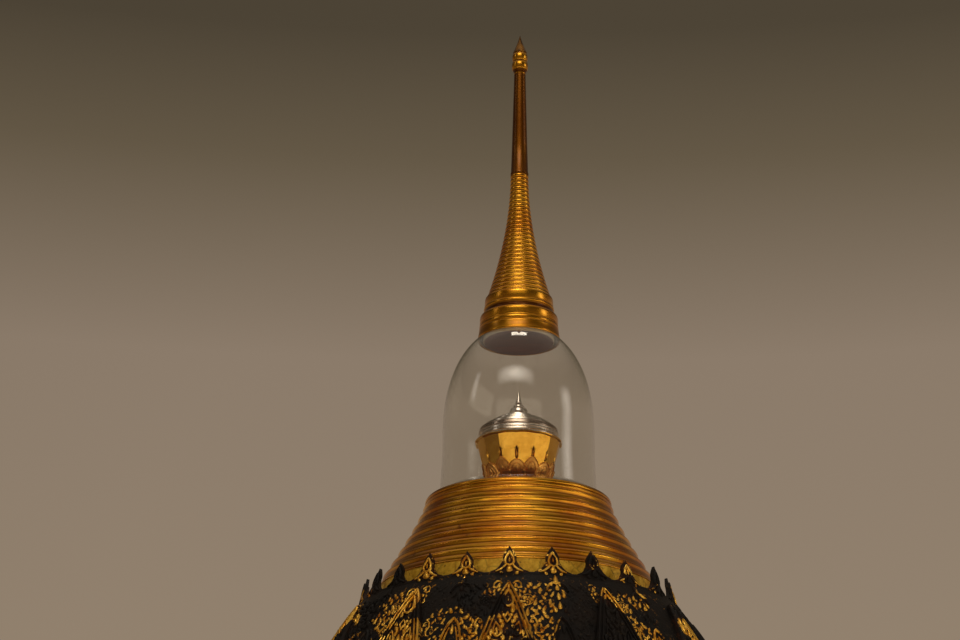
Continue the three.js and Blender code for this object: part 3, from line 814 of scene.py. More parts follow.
for name, apex, half, lift, point, turn in (("tall_calyx_leaves", 1990, 25, 1.6, 1.15, 180 / 7),
                                            ("low_calyx_leaves", 1982, 22.5, 3.4, 2.0, 0)):
    leaf = calyx_leaf(apex, half, lift, point)
    for side in (-1, 1):
        leaf.boss(lozenge(side * 18, 1957.6, 4.4, 3.8, 1.0, 10), lift + 2.6)
    laid = leaf.piece(name, on_side([(r * 0.985, z) for r, z in BOWL_LINE[1:]]), CALYX_GOLD)
    keep(set_round(laid, PETAL_COUNT // 2, turn, material=CALYX_GOLD), "polished_gold")

casket_foot = [(76, 1894), (77, 1896), (77, 1900), (75, 1902.5), (66, 1904.5), (56, 1908), (50, 1913),
               (48, 1919), (48, 1930), (49, 1938), (51, 1945), (55, 1952.4)]
keep(turned("bowl_foot", casket_foot, BRONZE, 112), "dark_bronze", "casket_foot")

# A slope of 1 in 5 mirrors the lamp in front; the rim has two such beads with a groove between them.
LID_SLOPE = 0.2


def lid_riser(radius, foot, head):
    return flat((radius, foot), (radius - LID_SLOPE * (head - foot), head))


lid = [(84, 2052.4), (99, 2052.4), (100.2, 2053.2), (100.2, 2057.2), *lid_riser(101.4, 2058.4, 2063),
       (98.8, 2064), (98.8, 2065.2), *lid_riser(101, 2066, 2070.2), (98.6, 2071)]
band = [(98.8, 2072), (99.8, 2073), *lid_riser(99.9, 2074.4, 2082.4), (97.4, 2083.6), (95.4, 2084.4)]
crown = [(88.4, 2084.8), *lid_riser(88.2, 2085.4, 2092.4), (85.4, 2093.4)]
# Painted reflection: the lid's middle band is painted brown for the dark room that it mirrors.
tarnish_and_painted_reflection = [0.0] * (len(lid) + 1) + [0.75] * len(band) + [0.0] * (len(crown) + 1)
keep(turned("silver_lid", lid + band + crown, SILVER, 128, grime_and_painted_light=tarnish_and_painted_reflection), "silver", "casket_lid")
# Steps that look like one bright block from below, a low cap, and the needle's neck
lid_dome = [(85.4, 2093)]
for radius, foot, head in ((70, 2095.4, 2104.4), (54, 2106.4, 2112.6), (40, 2113.8, 2119.4)):
    lid_dome += [*lid_riser(radius, foot, head), (radius - 3.4, head + 0.4)]
lid_dome += [(32, 2121.6), (28.6, 2124), (26, 2125.8), (23.2, 2128), (22, 2131), (21.8, 2136.6),
             (20.8, 2139), (17, 2141.2), (14.6, 2143)]
keep(turned("silver_lid_dome", lid_dome, SILVER, 112, grime_and_painted_light=0.0), "silver", "casket_lid_dome")
needle = [(13.2, 2142.6), *flat((13.4, 2144), (12.6, 2148.4)), (9.6, 2150.8), (8.2, 2154), (7, 2159),
          (5.8, 2164.4), (4.5, 2170.4), (3.2, 2176.4), (1.8, 2182), (0.5, 2187)]
keep(turned("silver_needle", needle, SILVER, 64, grime_and_painted_light=0.0), "silver", "casket_lid_finial")


# Gold ring stack

plate = [(227, 1875), *bulge((227, 1875), (228, 1882.6), 2.2, 6, 0.7), (228, 1882.6),
         *bulge((228, 1882.6), (224, 1894), 4.2, 10, 0.7), (224, 1894), (203, 1893.6), (199, 1894.6),
         (195, 1894.6), (192, 1893.6)]
keep(turned("dome_rest", plate, GOLD, 192), "gold", "dome_plate")

STACK_RINGS = 7
stack = ring_stack(
    "gold_ring_stack", GOLD, rings=STACK_RINGS, steps=15, sides=208, foot_height=1.669, head_height=1.875,
    foot_radius=0.3372, head_radius=0.227, flare=1.19, bead_share=0.5, ring_bulge=0.0064,
    bead_bulge=0.0028, fullness=0.62)
keep(stack, "gold", *[f"stack_ring_{k}" for k in range(1, STACK_RINGS + 1)])

collar = [(340, 1614), (340, 1625), (340.3, 1640), (340, 1655), (339.4, 1664.6), (337, 1665)]
keep(turned("gold_leaf_collar", collar, LEAF_GOLD, 192, grime_and_painted_light=0.0), "pale_gold", "collar_band")
bead = [(330, 1664.8), (340, 1664.8), *bulge((340, 1664.8), (338, 1669.2), 1.8, 7, 0.8), (338, 1669.2),
        (330, 1669.2), (330, 1664.8)]
keep(turned("collar_bead", bead, GOLD, 192, grime_and_painted_light=0.0), "gold")


# Bell

BELL_CENTRE, BELL_RADIUS, BELL_HEIGHT, BELL_TOP = 860, 607, 980, 1614


def bell_line(steps=48):
    last = math.asin((BELL_TOP - BELL_CENTRE) / BELL_HEIGHT)
    return [(BELL_RADIUS * math.cos(last * i / steps),
             BELL_CENTRE + BELL_HEIGHT * math.sin(last * i / steps)) for i in range(steps + 1)]


on_bell = on_side(bell_line() + [(374, 1632)])
keep(turned("lacquered_bell", bell_line(), LACQUER, 224, grime_and_painted_light=0.0), "black_lacquer", "carved_body")

PETALS, APEX, PETAL_THICK = 12, 1584, 9
LEAF_SPACING = 11  # between the middles of the small filling leaves
PETAL_EDGE = np.array([(0, 0), (10.5, 16), (21.8, 40), (34.5, 70.6), (46.5, 100), (57.5, 131),
                       (69, 166), (81, 204), (92.5, 242), (102.5, 282), (109.5, 318), (110.5, 340),
                       (106, 372), (98, 399)], float)


def petal_border(insets, first, last, steps):
    """Half outline of a main petal as (across, up) from the top down. insets are (below, inset)."""
    below = np.linspace(first, last, steps)
    inset = np.interp(below, *np.array(insets, float).T)
    return np.stack([np.interp(below, PETAL_EDGE[:, 1], PETAL_EDGE[:, 0]) - inset, APEX - below], 1)


def petal_half(up):
    """Half width of a main petal at a height."""
    return float(np.interp(APEX - up, PETAL_EDGE[:, 1], PETAL_EDGE[:, 0]))


# Rows of motifs on the bell, placed by how far across and how far below the petals' apex they lie

def drops(carving, rows, count=14):
    """Cushions like drops: (across, below, half, tall, lean, height)."""
    for x, below, half, tall, lean, height in rows:
        carving.boss(drop(x, APEX - below, half, tall, lean, count), height)


def curls(carving, rows, steps=16):
    """Tendrils: (across, below, size, start, turns, hand, height)."""
    for x, below, size, start, turns, hand, height in rows:
        carving.ridge(*curl(x, APEX - below, size, start, turns, hand, steps), height)


def flames(carving, rows):
    """Leaves that bow: (across, below at the foot, across, below at the tip, bow, half, height)."""
    for x, below, tip_x, tip_below, bow, half, height in rows:
        carving.ridge(*flame((x, APEX - below), (tip_x, APEX - tip_below), bow, half), height)


def diamonds(carving, rows):
    """Open diamonds on the middle line: (below, half, tall, width, height)."""
    for below, half, tall, width, height in rows:
        carving.ridge(lozenge(0, APEX - below, half, tall), width, height, closed=True)


def paisley(carving, x, below, half, tall, lean, height=4.2):
    """A ring like a drop, with a small drop in its eye."""
    carving.ridge(drop(x, APEX - below, half, tall, lean), half * 0.27, height, closed=True)
    carving.boss(drop(x, APEX - below - tall * 0.12, half * 0.36, tall * 0.4, lean, 10), height * 0.8)


def fill_with_leaves(carving, low, high, across, count, keep_on, seed):
    """Strews small irregular leaves and pearls between larger motifs, as the carver fills a ground.
    keep_on says where they may lie."""
    chance = np.random.default_rng(seed)
    taken = []
    for _ in range(count * 12):
        x, z = chance.uniform(*across), chance.uniform(low, high)
        if len(taken) >= count or not keep_on(x, z):
            continue
        if any(math.hypot(x - a, z - b) < LEAF_SPACING for a, b in taken):
            continue
        taken.append((x, z))
        half = chance.uniform(3.4, 5.8)
        carving.boss(drop(x, z, half, half * chance.uniform(0.9, 1.9), chance.uniform(-75, 75), 8),
                     chance.uniform(3.2, 5.4), chance.uniform(0.8, 1.0))


def main_petals():
    """Twelve large lotus petals: a raised slab with a double gilded border round a column of spades,
    diamonds and drops, with paisleys, curls and flame leaves on both sides."""
    slab = Carving()
    below = np.array([399, 385, 372, 355, 340, 318, 300, 282, 262, 242, 222, 204, 185, 166, 148, 131,
                      115, 100, 85, 70.6, 55, 40, 28, 16, 7, 1.5])
    half = np.interp(below, PETAL_EDGE[:, 1], PETAL_EDGE[:, 0])
    slab.ridge(middle(APEX - below), half, PETAL_THICK, SLAB)
    nodes = [f"main_petal_{k:02d}" for k in range(1, PETALS + 1)]
    keep_round(slab, "petal_slabs", on_bell, PETALS, *nodes)

    relief = Carving()
    outer = [(3, 1.0), (30, 1.4), (68, 2.6), (92, 3.8), (116, 5.4), (150, 6.4), (390, 5)]
    inner = [(20, 9.5), (51, 10.4), (71, 11.6), (92, 12.9), (116, 14.3), (150, 15), (390, 13.5)]
    relief.ridge(petal_border(outer, 4, 392, 46), 2.7, 4.6)
    relief.ridge(petal_border(inner, 24, 386, 42), 2.3, 3.8)
    relief.ridge([(0, APEX - 388), (44, APEX - 386), (88, APEX - 383)], 3.6, 4.6)
    drops(relief, [
        (12, 71, 5.8, 12.5, 14, 4.6), (17.6, 90, 4.2, 8.5, 24, 4.0), (10.6, 105, 3.4, 6.5, -20, 3.6),
        (10, 146, 4.4, 8.6, 40, 4.0), (36.6, 134, 3.2, 8, 14, 3.8), (24, 160, 3.8, 7.4, 60, 3.8),
        (60, 199, 4.2, 9, 20, 4.0), (25, 352, 8, 16, 22, 4.6), (47, 360, 7.5, 15, 38, 4.4),
        (67, 368, 7, 13, 54, 4.2)])
    paisley(relief, 23, 123, 8.6, 18, 8)
    paisley(relief, 41, 171, 7.5, 15, 16)
    flames(relief, [
        (9, 170, 38, 150, -0.16, 4.4, 4.0), (20, 216, 60, 188, -0.2, 5.2, 4.4),
        (42, 264, 78, 238, -0.2, 5.6, 4.4), (28, 290, 52, 262, 0.22, 5.0, 4.4),
        (56, 326, 90, 292, -0.22, 5.6, 4.6)])
    curls(relief, [
        (38, 196, 14, 160, 1.4, -1, 4.4), (30, 242, 17, 120, 1.5, -1, 4.6),
        (67, 274, 15.5, 100, 1.45, -1, 4.4), (36, 314, 17.5, 70, 1.5, 1, 4.6),
        (74, 336, 14, 60, 1.35, 1, 4.4)])
    relief.boss(disc(62, APEX - 224, 9.5), 4.4)
    relief.ridge(disc(62, APEX - 224, 14), 2.0, 3.0, closed=True)
    fill_with_leaves(relief, APEX - 230, APEX - 60, (7, 74), 44, lambda x, z: x < petal_half(z) - 20, 8)
    relief.mirror()
    drops(relief, [(0, 11.5, 3.6, 6, 0, 3.8), (0, 129, 6.6, 12, 0, 4.8), (0, 236, 10, 20, 0, 5.0)])
    diamonds(relief, [(94, 7.4, 13.5, 2.4, 4.2), (186, 19, 29, 4.0, 5.0), (284, 17, 25, 3.4, 4.8)])
    relief.ridge(drop(0, APEX - 43, 12.4, 22.5), 3.4, 4.8, closed=True)
    relief.boss(drop(0, APEX - 46, 2.6, 7.5), 3.6, 0.8)
    relief.boss(lozenge(0, APEX - 186, 10, 15, 1.6), 4.8)
    relief.boss(lozenge(0, APEX - 284, 8, 11, 1.0), 4.6)
    paisley(relief, 0, 346, 15, 32, 0, 5.0)
    keep_round(relief, "petal_carving", raised(on_bell, PETAL_THICK), PETALS)


def rosette(carving, x, z, size, petals, height):
    """A flower: an eye, a ring of small petals and a rim."""
    carving.boss(disc(x, z, size * 0.27, 8), height)
    for i in range(petals):
        a = 2 * math.pi * (i + 0.5) / petals
        spot = (x + size * 0.64 * math.sin(a), z + size * 0.64 * math.cos(a))
        carving.boss(drop(*spot, size * 0.27, size * 0.37, math.degrees(a), 8), height * 0.8)


# Small drops that fill the field, each (across, below the apex, half, tall, lean)
FIELD_DROPS = (
    (45.6, 5, 4.6, 6.5, -30), (39, 20, 4.6, 6.4, 50), (28.5, 29, 4.0, 8.5, -14), (60, 33, 4.0, 6.5, 60),
    (63.5, 49, 4.4, 9.5, 24), (46.5, 73, 6.0, 12.5, 4), (36.5, 58, 3.4, 8, -12),
    (66.7, 73, 4.4, 10, 14), (57, 64, 3.2, 6.5, 40), (76, 45, 3.8, 6.5, 60), (96.5, 46, 5.0, 10, 4),
    (84, 63, 5.0, 10.5, 24), (79, 88, 3.8, 7, -20), (98, 95, 4.6, 7.5, 10), (62.5, 140, 4.4, 8, -10),
    (80.5, 136, 4.4, 7.5, 40), (96, 137, 4.2, 8.5, 0), (88, 111, 3.6, 7, 30), (71, 20, 3.6, 6.5, -40),
    (86, 26, 3.4, 6, 40), (53, 110, 3.6, 8, -10))


def field_ornament():
    """What fills the ground between the petals, drawn for one side of a petal and mirrored: flowers,
    drops and scrolls at the top, then flame leaves that climb along the petal's edge."""
    field = Carving()
    field.ridge([(12, APEX + 2), (17, APEX + 8.4), (24, APEX + 9), (30, APEX + 3), (31, APEX - 6),
                 (25, APEX - 9.5), (20, APEX - 4)], 2.6, 4.2)
    rosette(field, 45.6, APEX - 41, 12.5, 7, 4.4)
    field.ridge(disc(45.6, APEX - 41, 14.2), 1.4, 2.8, closed=True)
    drops(field, [(*row, 4.4) for row in FIELD_DROPS], 10)
    field.ridge([(56.5, APEX - 84), (66, APEX - 93), (69.5, APEX - 104), (64.5, APEX - 115),
                 (68, APEX - 126), (76, APEX - 127)], [2.2, 3.4, 3.8, 3.6, 3.2, 2.0], 4.6)
    curls(field, [(58, 97, 7, 60, 1.1, 1, 3.8), (79, 118, 7.5, 130, 1.2, -1, 3.8)], 12)
    for below, x, size in ((158, 76, 12), (188, 86, 13), (220, 97, 13), (254, 108, 13), (288, 118, 12)):
        flames(field, [(x - 6, below + 16, x + 7, below - 14, -0.24, size * 0.42, 4.4)])
        curls(field, [(x + 6, below + 4, size * 0.62, 120, 1.2, -1, 4.0)], 12)
        drops(field, [(x - 8, below - 3, 3.4, 7, 20, 4.0)], 10)
    fill_with_leaves(field, APEX - 150, APEX + 4, (12, 104), 84,
                     lambda x, z: x > petal_half(z) + 6, 3)
    field.mirror()
    keep_round(field, "field_carving", on_bell, PETALS, lean=0.25)

    between = Carving()
    between.ridge([(2, APEX + 8), (10, APEX + 7), (17, APEX + 3), (23, APEX - 7), (24, APEX - 15)], 2.8,
                  4.4)
    between.ridge(petal_side(0, 84, 330), 3.0, 4.6)
    between.ridge(petal_side(8, 108, 322), 2.2, 3.4)
    drops(between, [(13.5, 62, 5.2, 10, 22, 4.4), (12, 22, 3.4, 7, -30, 4.0), (8, 152, 4.8, 11, 14, 4.0),
                    (12, 282, 5.5, 14, 16, 4.0)])
    curls(between, [(10.5, 196, 9, 150, 1.3, -1, 4.0), (11, 236, 9.5, 150, 1.3, -1, 4.0)], 12)
    between.mirror()
    drops(between, [(0, -17, 6.4, 14, 0, 5.2), (0, 5, 5.4, 7.5, 0, 4.6), (0, 28, 5.6, 11, 0, 4.8),
                    (0, 53, 5.4, 11, 0, 4.8), (0, 112, 4.6, 13, 0, 4.2), (0, 304, 7, 18, 0, 4.4)])
    diamonds(between, [(172, 8, 13, 2.6, 4.0), (256, 8, 13, 2.6, 4.0)])
    between.boss(lozenge(0, APEX - 214, 6, 10, 2.0), 4.0)
    keep_round(between, "small_petal_carving", on_bell, PETALS, turn=180 / PETALS)


SMALL_TIP, SMALL_TALL, SMALL_HALF = 84, 246, 34  # the small petal's tip below the apex, and its size


def petal_side(inset, first, last, steps=26):
    """Half outline of the small petal that shows between two large ones."""
    below = np.linspace(first, last, steps)
    share = np.clip((below - SMALL_TIP) / SMALL_TALL, 0, 1)
    wide = SMALL_HALF * np.sin(share ** 0.62 * math.pi * 0.62)
    return np.stack([np.maximum(wide - inset, 0.4), APEX - below], 1)


def bell_skirt_ornament():
    """Below the petals: a girdle of pearls, then a row of hanging leaves above the band."""
    hanging = Carving()
    edge = [(40, 1150), (47, 1120), (48, 1080), (42, 1030), (30, 980), (15, 935), (3, 906)]
    hanging.ridge(edge, 3.4, 5.0)
    hanging.ridge([(x * 0.78, z + 4) for x, z in edge[:6]], 2.2, 3.6)
    curls(hanging, [(19, 480, 13, 40, 1.4, 1, 4.2), (16, 526, 11, 40, 1.4, 1, 4.0),
                    (65, 564, 10, 60, 1.3, 1, 3.8)])
    flames(hanging, [(6, 584, 24, 552, 0.2, 4.2, 4.0), (56, 444, 66, 534, 0.05, 5.0, 4.2)])
    drops(hanging, [(66, 599, 6, 14, 180, 4.0)])
    hanging.mirror()
    drops(hanging, [(0, 508, 7, 20, 0, 5.0), (0, 608, 6, 16, 180, 4.4), (0, 458, 8, 12, 0, 4.6),
                    (0, 694, 7, 11, 180, 4.6)])
    diamonds(hanging, [(566, 9, 15, 2.2, 4.0)])
    keep_round(hanging, "hanging_leaves", on_bell, 24, turn=7.5)

    girdle = Carving()
    for level in (1180, 1157):
        girdle.ridge([(-20.2, level), (20.2, level)], 3.0, 5.0)
    for x in (-13.3, 0, 13.3):
        girdle.boss(disc(x, 1168.5, 5.6, 10), 5.2)
    keep_round(girdle, "pearl_girdle", on_bell, 90)


main_petals()
field_ornament()
bell_skirt_ornament()


# Crest of leaves round the bell's top edge: they lean in towards the collar, no two quite alike

LEAF_SIDE = np.array([(49.6, -3), (48, 4), (43, 8), (33, 11.5), (24, 20), (17, 32), (15.6, 38), (16, 45),
                      (13, 52), (8, 60), (3, 66), (0.5, 70)], float)
CREST_TALL, CREST_THICK = 70, 6.0


def crest_leaf(tall, width):
    """One leaf: a pointed slab with a looped border round a dark eye, legs that spread to its
    neighbours, and a drop at its foot. Its tip is bare."""
    grow = tall / CREST_TALL
    slab = Carving()
    wide = np.where(LEAF_SIDE[:, 1] > 11, LEAF_SIDE[:, 0] * width, LEAF_SIDE[:, 0])
    slab.ridge(middle(LEAF_SIDE[:, 1] * grow), wide, CREST_THICK, PLATE)
    work = Carving()
    work.ridge(drop(0, 38 * grow, 11 * width, 17 * grow), 3.6, 4.0, closed=True)
    work.boss(drop(0, 36 * grow, 2.4 * width, 8 * grow), 3.6)
    work.boss(drop(0, 13 * grow, 8.5, 11 * grow), 4.8)
    for side in (-1, 1):
        work.ridge([(side * 6, 25 * grow), (side * 12, 17 * grow), (side * 20, 11), (side * 31, 6)],
                   [3.2, 3.4, 3.0, 1.6], 3.6)
        work.boss(drop(side * 18, 3, 4.6, 6, side * 40), 3.4)
    laid = [(x, z, CREST_THICK + (h if h > 0 else -0.6), g) for x, z, h, g in work.points]
    slab.take(laid, work.faces)
    return slab


def on_leaning_face(out, lean, turn):
    """A flat face that stands on the bell's top edge out mm from the axis, leans in and is turned
    round the axis, both in degrees."""
    lean, turn = math.radians(lean), math.radians(turn)

    def place(across, up, proud):
        reach = out - up * math.sin(lean) + proud * math.cos(lean)
        # A leaf's broad foot follows the round edge.
        reach = reach - across ** 2 / (2 * out)
        return np.stack([across * math.cos(turn) + reach * math.sin(turn),
                         across * math.sin(turn) - reach * math.cos(turn),
                         BELL_TOP + up * math.cos(lean) + proud * math.sin(lean)], 1)
    return place


def crest(name, node, first_turn, out, lean, tall, given):
    """Twelve leaves as one piece. given holds the height and lean of leaves that are not average."""
    chance = np.random.default_rng(6)
    points, faces, gilding = [], [], []
    for k in range(PETALS):
        turn = first_turn + 360 / PETALS * k
        off = chance.uniform(-1, 1, 4)
        height, tip = given.get(turn if turn <= 180 else turn - 360, (tall + 3 * off[0], 1.5 * off[1]))
        leaf = crest_leaf(height, 1 + 0.05 * off[2])
        x, z, h, g = np.array(leaf.points, float).T
        first = len(points)
        points += on_leaning_face(out, lean + tip, turn + 0.7 * off[3])(x, z, h).tolist()
        faces += [[first + i for i in face] for face in leaf.faces]
        gilding += g.tolist()
    piece = new_piece(name, points, faces, CARVING, gilding, "gilt", 50)
    outward(piece.data)
    keep(piece, "gilded_carving", node)


crest("large_crest", "crest_large_leaves", 0, 381, 13.6, 70, {
    0: (72, 0), -30: (69, -1), 30: (72.5, 1), 60: (69, -6)})
crest("small_crest", "crest_small_leaves", 15, 379, 12, 64, {
    15: (73, 1), -15: (62.5, 0), -45: (59.5, 0), 45: (64.5, 1)})
foot = [(376, 1611), (388, 1610), (387.4, 1614), (386.4, 1618), (383.4, 1621.4), (380, 1622), (376, 1620),
        (376, 1611)]
keep(turned("crest_foot", foot, LACQUER, 192, grime_and_painted_light=0.0), "black_lacquer")


# Foot of the bell

band = [(611, 800), (616.5, 801.5), (617.5, 804), (616.5, 806.5), (612, 808), (612, 852), (616.5, 853.5),
        (617.5, 856), (616.5, 858.5), (610, 860)]
keep(turned("bell_band_ground", band, LACQUER, 224, grime_and_painted_light=0.0), "gilded_carving", "bell_band")
frieze = Carving()
rosette(frieze, 0, 830, 15, 8, 4.6)
frieze.ridge(disc(0, 830, 17.5), 1.4, 3.0, closed=True)
side_leaf = Carving()
side_leaf.ridge(*flame((20, 818), (34, 843), -0.2, 3.6), 4.0)
side_leaf.ridge(*flame((22, 842), (34, 819), 0.2, 3.0), 3.6)
side_leaf.mirror()
frieze.take(side_leaf.points, side_leaf.faces)
keep_round(frieze, "bell_band_frieze", on_side([(612, 790), (612, 870)]), 54)

lip = [(634, 752), (641, 754), (646, 758.5), (648, 764.5), (648, 773), (646, 778.5), (641, 782.5),
       (634, 784.5), (629, 786), (626, 789.5), (624.6, 794), (622, 800)]
keep(turned("bell_lip_ring", lip, GOLD, 208), "gold", "bell_lip")

BASE_RING_TALL = 54
for node, radius, foot in (("base_ring_lower", 738, 590), ("base_ring_middle", 706, 644),
                           ("base_ring_upper", 674, 698)):
    low, high = (radius, foot), (radius, foot + BASE_RING_TALL)
    swell_low, swell_high = (radius + 1, foot + 3), (radius + 1, foot + 44)
    bead_low = (radius + 0.5, foot + 46)
    ring = [low, swell_low, *bulge(swell_low, swell_high, 19, 14, 0.75), swell_high, bead_low,
            *bulge(bead_low, high, 3.0, 6, 0.7), high]
    keep(turned(node.replace("base", "round"), ring, GOLD, 208), "gold", node)

lotus_line = [(728, 470), (728, 484), (720, 490), (716, 496), (720, 508), (731, 524), (744, 540),
              (756, 554), (765, 566), (770, 574), (772, 580), (770, 586), (764, 590)]
keep(turned("lotus_ring_ground", lotus_line, LACQUER, 208, grime_and_painted_light=0.0), "gilded_carving", "lotus_ring")
upright = Carving()
LOTUS_FOOT, LOTUS_HEAD, LOTUS_HALF = 496, 578, 44
tall = np.linspace(LOTUS_FOOT, LOTUS_HEAD, 12)
rise = (tall - LOTUS_FOOT) / (LOTUS_HEAD - LOTUS_FOOT)
fullness = np.sin((rise * 0.86 + 0.14) ** 0.8 * math.pi) ** 0.6
upright.ridge(middle(tall), LOTUS_HALF * fullness, 5.0, SLAB)
outline = np.stack([LOTUS_HALF * fullness - 3, tall], 1)
for side in (-1, 1):
    upright.ridge(outline * (side, 1), 2.6, 8.0)
    upright.ridge(outline[:10] * (side * 0.7, 1) + (0, 4), 1.8, 6.8)
upright.boss(drop(0, 530, 8, 20), 9.0)
keep_round(upright, "lotus_ring_petals", on_side(lotus_line), 48)
behind = Carving()
behind.ridge([(-13, 556), (-8, 567), (0, 577), (8, 567), (13, 556)], 2.4, 5.0)
behind.boss(drop(0, 553, 5, 12), 4.4)
keep_round(behind, "lotus_ring_tips", on_side(lotus_line), 48, turn=3.75)


# Plinth: eight sided, in three courses

PLINTH_SIDES = 8


def course(name, node, bottom, top, half, moulding):
    """One course: a waisted octagonal block with stepped and rounded mouldings."""
    inner = half - moulding
    line = [(half - 1.5, bottom), (half, bottom + 2), (half, bottom + moulding - 4),
            (half - 2, bottom + moulding), (half - moulding * 0.5, bottom + moulding * 1.15),
            (inner + moulding * 0.2, bottom + moulding * 1.55), (inner, bottom + moulding * 2),
            (inner, top - moulding * 2), (inner + moulding * 0.2, top - moulding * 1.55),
            (half - moulding * 0.5, top - moulding * 1.15), (half - 2, top - moulding),
            (half, top - moulding + 4), (half, top - 2), (half - 1.5, top)]
    to_corner = 1 / math.cos(math.pi / PLINTH_SIDES)
    block = turned(name, [(reach * to_corner, height) for reach, height in line], LACQUER,
                   PLINTH_SIDES, grime_and_painted_light=0.0, sharp=25, first=0.5)
    keep(block, "black_lacquer", node)

    wide = inner * math.tan(math.pi / PLINTH_SIDES)
    panel = Carving()
    low, high = bottom + 2 * moulding + 8, top - 2 * moulding - 8
    centre, tall_half = (low + high) / 2, (high - low) / 2
    panel.ridge([(-wide + 22, low), (wide - 22, low), (wide - 22, high), (-wide + 22, high)], 2.8, 3.6,
                closed=True)
    count = round((wide - 60) / 62)
    pitch = (wide - 60) / count
    for i in range(-count, count + 1):
        x = i * pitch
        if i % 2 == 0:
            rosette(panel, x, centre, tall_half * 0.62, 8, 4.2)
        else:
            panel.ridge(lozenge(x, centre, tall_half * 0.9, tall_half * 0.66), 2.2, 3.8, closed=True)
            panel.boss(lozenge(x, centre, tall_half * 0.3, tall_half * 0.24, 1.8), 3.8)
    keep_round(panel, name + "_panels", on_flat(inner), PLINTH_SIDES)

    lines = Carving()
    face = half * math.tan(math.pi / PLINTH_SIDES)
    for level in (bottom + moulding * 0.5, top - moulding * 0.5):
        lines.ridge([(-face + 3, level), (face - 3, level)], moulding * 0.2, 2.6)
    keep_round(lines, name + "_lines", on_flat(half), PLINTH_SIDES)


course("plinth_foot_course", "plinth_lower", 0, 150, 910, 26)
course("plinth_middle_course", "plinth_middle", 150, 300, 855, 22)
course("plinth_top_course", "plinth_upper", 300, 470, 800, 18)


# Stage: pale floor, soft lamps, and a room whose walls are lit low down and fade upwards

# Soft lights of the room: azimuth (0 in front, 90 to the right), elevation, where they begin and end
# to fade across and upright as tangents from their middle, radiance and colour
GLOWS = (
    (-3, 41, (0.05, 0.50), (0.04, 0.14), 5.2, "#FFF3E2"),  # ceiling lamp in front
    (82, 23, (0.02, 0.20), (0.05, 0.15), 2.6, "#FFF4E6"),  # window on the right
    (-72, 31, (0.02, 0.09), (0.10, 0.16), 1.3, "#FFF6EC"),  # narrow window on the left
)
# Tones of the room from below the floor's edge up to the ceiling
TONES = ((0.0, "#9C8C7A"), (0.3, "#94836F"), (0.457, "#8B7B6A"), (0.53, "#645846"), (0.575, "#4D4436"),
         (0.66, "#4A4235"), (0.8, "#94887A"), (1.0, "#A0968A"))
FLOOR_HALF, FLOOR_LEVEL = 60000, -0.5  # mm


def direction(azimuth, elevation):
    """Out from the axis: azimuth 0 is in front and 90 to the right, in degrees."""
    a, e = math.radians(azimuth), math.radians(elevation)
    return Vector((math.sin(a) * math.cos(e), -math.cos(a) * math.cos(e), math.sin(e)))


def glow(add, towards, azimuth, elevation, across, upright):
    """How much of a rectangular light with soft edges is seen in a direction, from 0 to 1."""
    frame_of_light = (direction(azimuth, elevation), direction(azimuth + 90, 0),
                      direction(azimuth, elevation + 90))
    ahead, right, up = (add("VectorMath", towards, axis, out="Value", operation="DOT_PRODUCT")
                        for axis in frame_of_light)
    ahead = add("MAXIMUM", ahead, 0.01)
    seen = add("GREATER_THAN", ahead, 0.02)
    for part, (begin, end) in ((right, across), (up, upright)):
        away = add("ABSOLUTE", add("DIVIDE", part, ahead))
        seen = add("MULTIPLY", seen, add("MapRange", away, begin, end, 1.0, 0.0))
    return seen


def stage():
    corners = [(x * FLOOR_HALF, y * FLOOR_HALF, FLOOR_LEVEL) for x, y in ((-1, -1), (1, -1), (1, 1), (-1, 1))]
    new_piece("floor", corners, [(0, 1, 2, 3)], FLOOR)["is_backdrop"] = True

    world = bpy.data.worlds.new("room")
    bpy.context.scene.world = world
    world.use_nodes = True
    world.node_tree.nodes.clear()
    add = partial(add_node, world.node_tree)
    towards = add("TexCoord", out="Generated")
    upward = add("SeparateXYZ", towards, out="Z")
    ramp = add("ValToRGB", add("MapRange", upward, -0.2, 1.0), out=None)
    while len(ramp.color_ramp.elements) < len(TONES):
        ramp.color_ramp.elements.new(0.5)
    for stop, (where, tone) in zip(ramp.color_ramp.elements, TONES):
        stop.position = where
        stop.color = linear(tone)
    # The wall behind and the ceiling are lit; the room is dimmer in front and to the left.
    facing = add("VectorMath", towards, (0.35, 0.94, 0.0), out="Value", operation="DOT_PRODUCT")
    strength = add("MAXIMUM", add("MapRange", facing, -0.5, 0.8, 0.4, 1.0),
                   add("MapRange", upward, 0.6, 0.75))
    shown = add("Background", {"Color": ramp.outputs[0], "Strength": strength})
    for azimuth, elevation, across, upright, radiance, colour in GLOWS:
        seen = glow(add, towards, azimuth, elevation, across, upright)
        lit = add("Background", {"Color": colour, "Strength": add("MULTIPLY", seen, radiance)})
        shown = add("AddShader", shown, lit)
    add("OutputWorld", {"Surface": shown}, out=None)


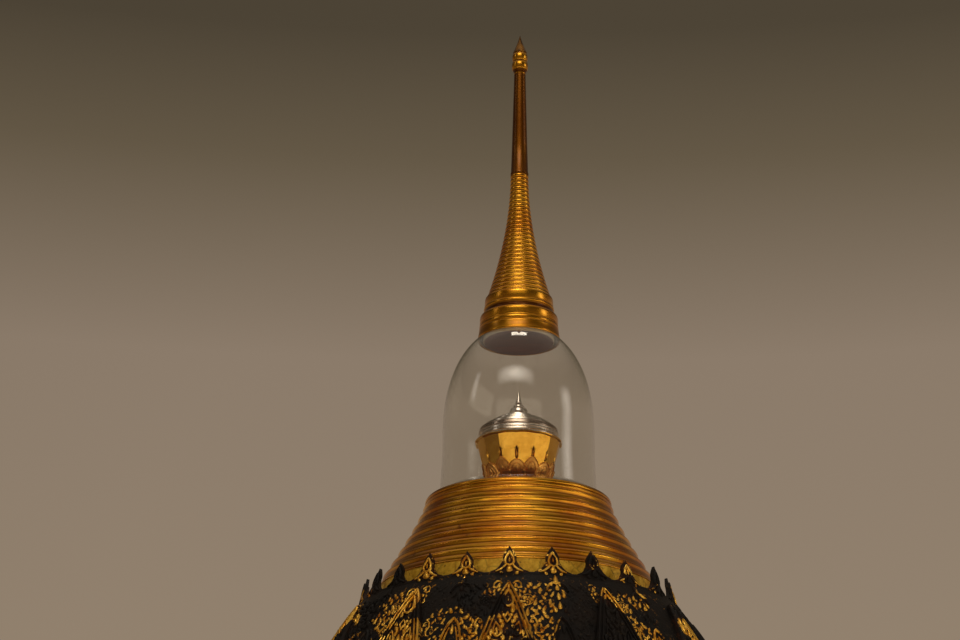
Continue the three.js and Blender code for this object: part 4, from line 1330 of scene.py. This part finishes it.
def lamp(name, azimuth, elevation, away, wide, tall, radiance, colour, aim=2.0):
    """A soft rectangular lamp that shines on the axis at a height of aim."""
    light = bpy.data.lights.new(name, "AREA")
    light.shape = "RECTANGLE"
    light.size, light.size_y = wide, tall
    light.energy = radiance * math.pi * wide * tall
    light.color = linear(colour)[:3]
    out = direction(azimuth, elevation)
    shining = bpy.data.objects.new(name, light)
    shining.location = Vector((0, 0, aim)) + out * away
    shining.rotation_euler = out.to_track_quat("Z", "Y").to_euler()
    shining.visible_camera = False
    bpy.context.scene.collection.objects.link(shining)


stage()
lamp("lamp overhead", 180, 86, 2.7, 0.7, 0.4, 6, "#FFF1DC", 2.3)
lamp("low screen in front", 2, -10, 6.0, 9.6, 2.0, 0.9, "#FFF0DA")
lamp("low screen on the right", 73, -9, 5.6, 5.0, 1.9, 1.0, "#FFF0DA")


# Camera: below the casket, looking up, fitted to the ellipses of the rings

FRAME_WIDTH, FOCAL_PIXELS, SENSOR_WIDTH = 960, 2100, 36
CAMERA_AWAY, CAMERA_HEIGHT, CAMERA_AZIMUTH = 5.0, 0.412, 2.75
LOOK_LEFT, LOOK_UP, ROLL = 1.142, 21.5, 0.0111


def make_camera():
    lens = bpy.data.cameras.new("camera")
    lens.sensor_width = SENSOR_WIDTH
    lens.lens = SENSOR_WIDTH * FOCAL_PIXELS / FRAME_WIDTH
    lens.clip_end = 200
    camera = bpy.data.objects.new("camera", lens)
    to_side = Matrix.Rotation(math.radians(CAMERA_AZIMUTH), 3, "Z")
    yaw, up = math.radians(LOOK_LEFT), math.radians(LOOK_UP)
    level = Vector((-math.sin(yaw), math.cos(yaw), 0))
    right = Vector((math.cos(yaw), math.sin(yaw), 0))
    ahead = level * math.cos(up) + Vector((0, 0, math.sin(up)))
    head = -level * math.sin(up) + Vector((0, 0, math.cos(up)))
    rolled_right = right * math.cos(ROLL) + head * math.sin(ROLL)
    rolled_head = head * math.cos(ROLL) - right * math.sin(ROLL)
    axes = Matrix((rolled_right, rolled_head, -ahead)).transposed()
    place = (to_side @ axes).to_4x4()
    place.translation = to_side @ Vector((0, -CAMERA_AWAY, CAMERA_HEIGHT))
    camera.matrix_world = place
    bpy.context.scene.collection.objects.link(camera)
    bpy.context.scene.camera = camera


make_camera()
bpy.context.scene.view_settings.view_transform = "Standard"

low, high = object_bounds()
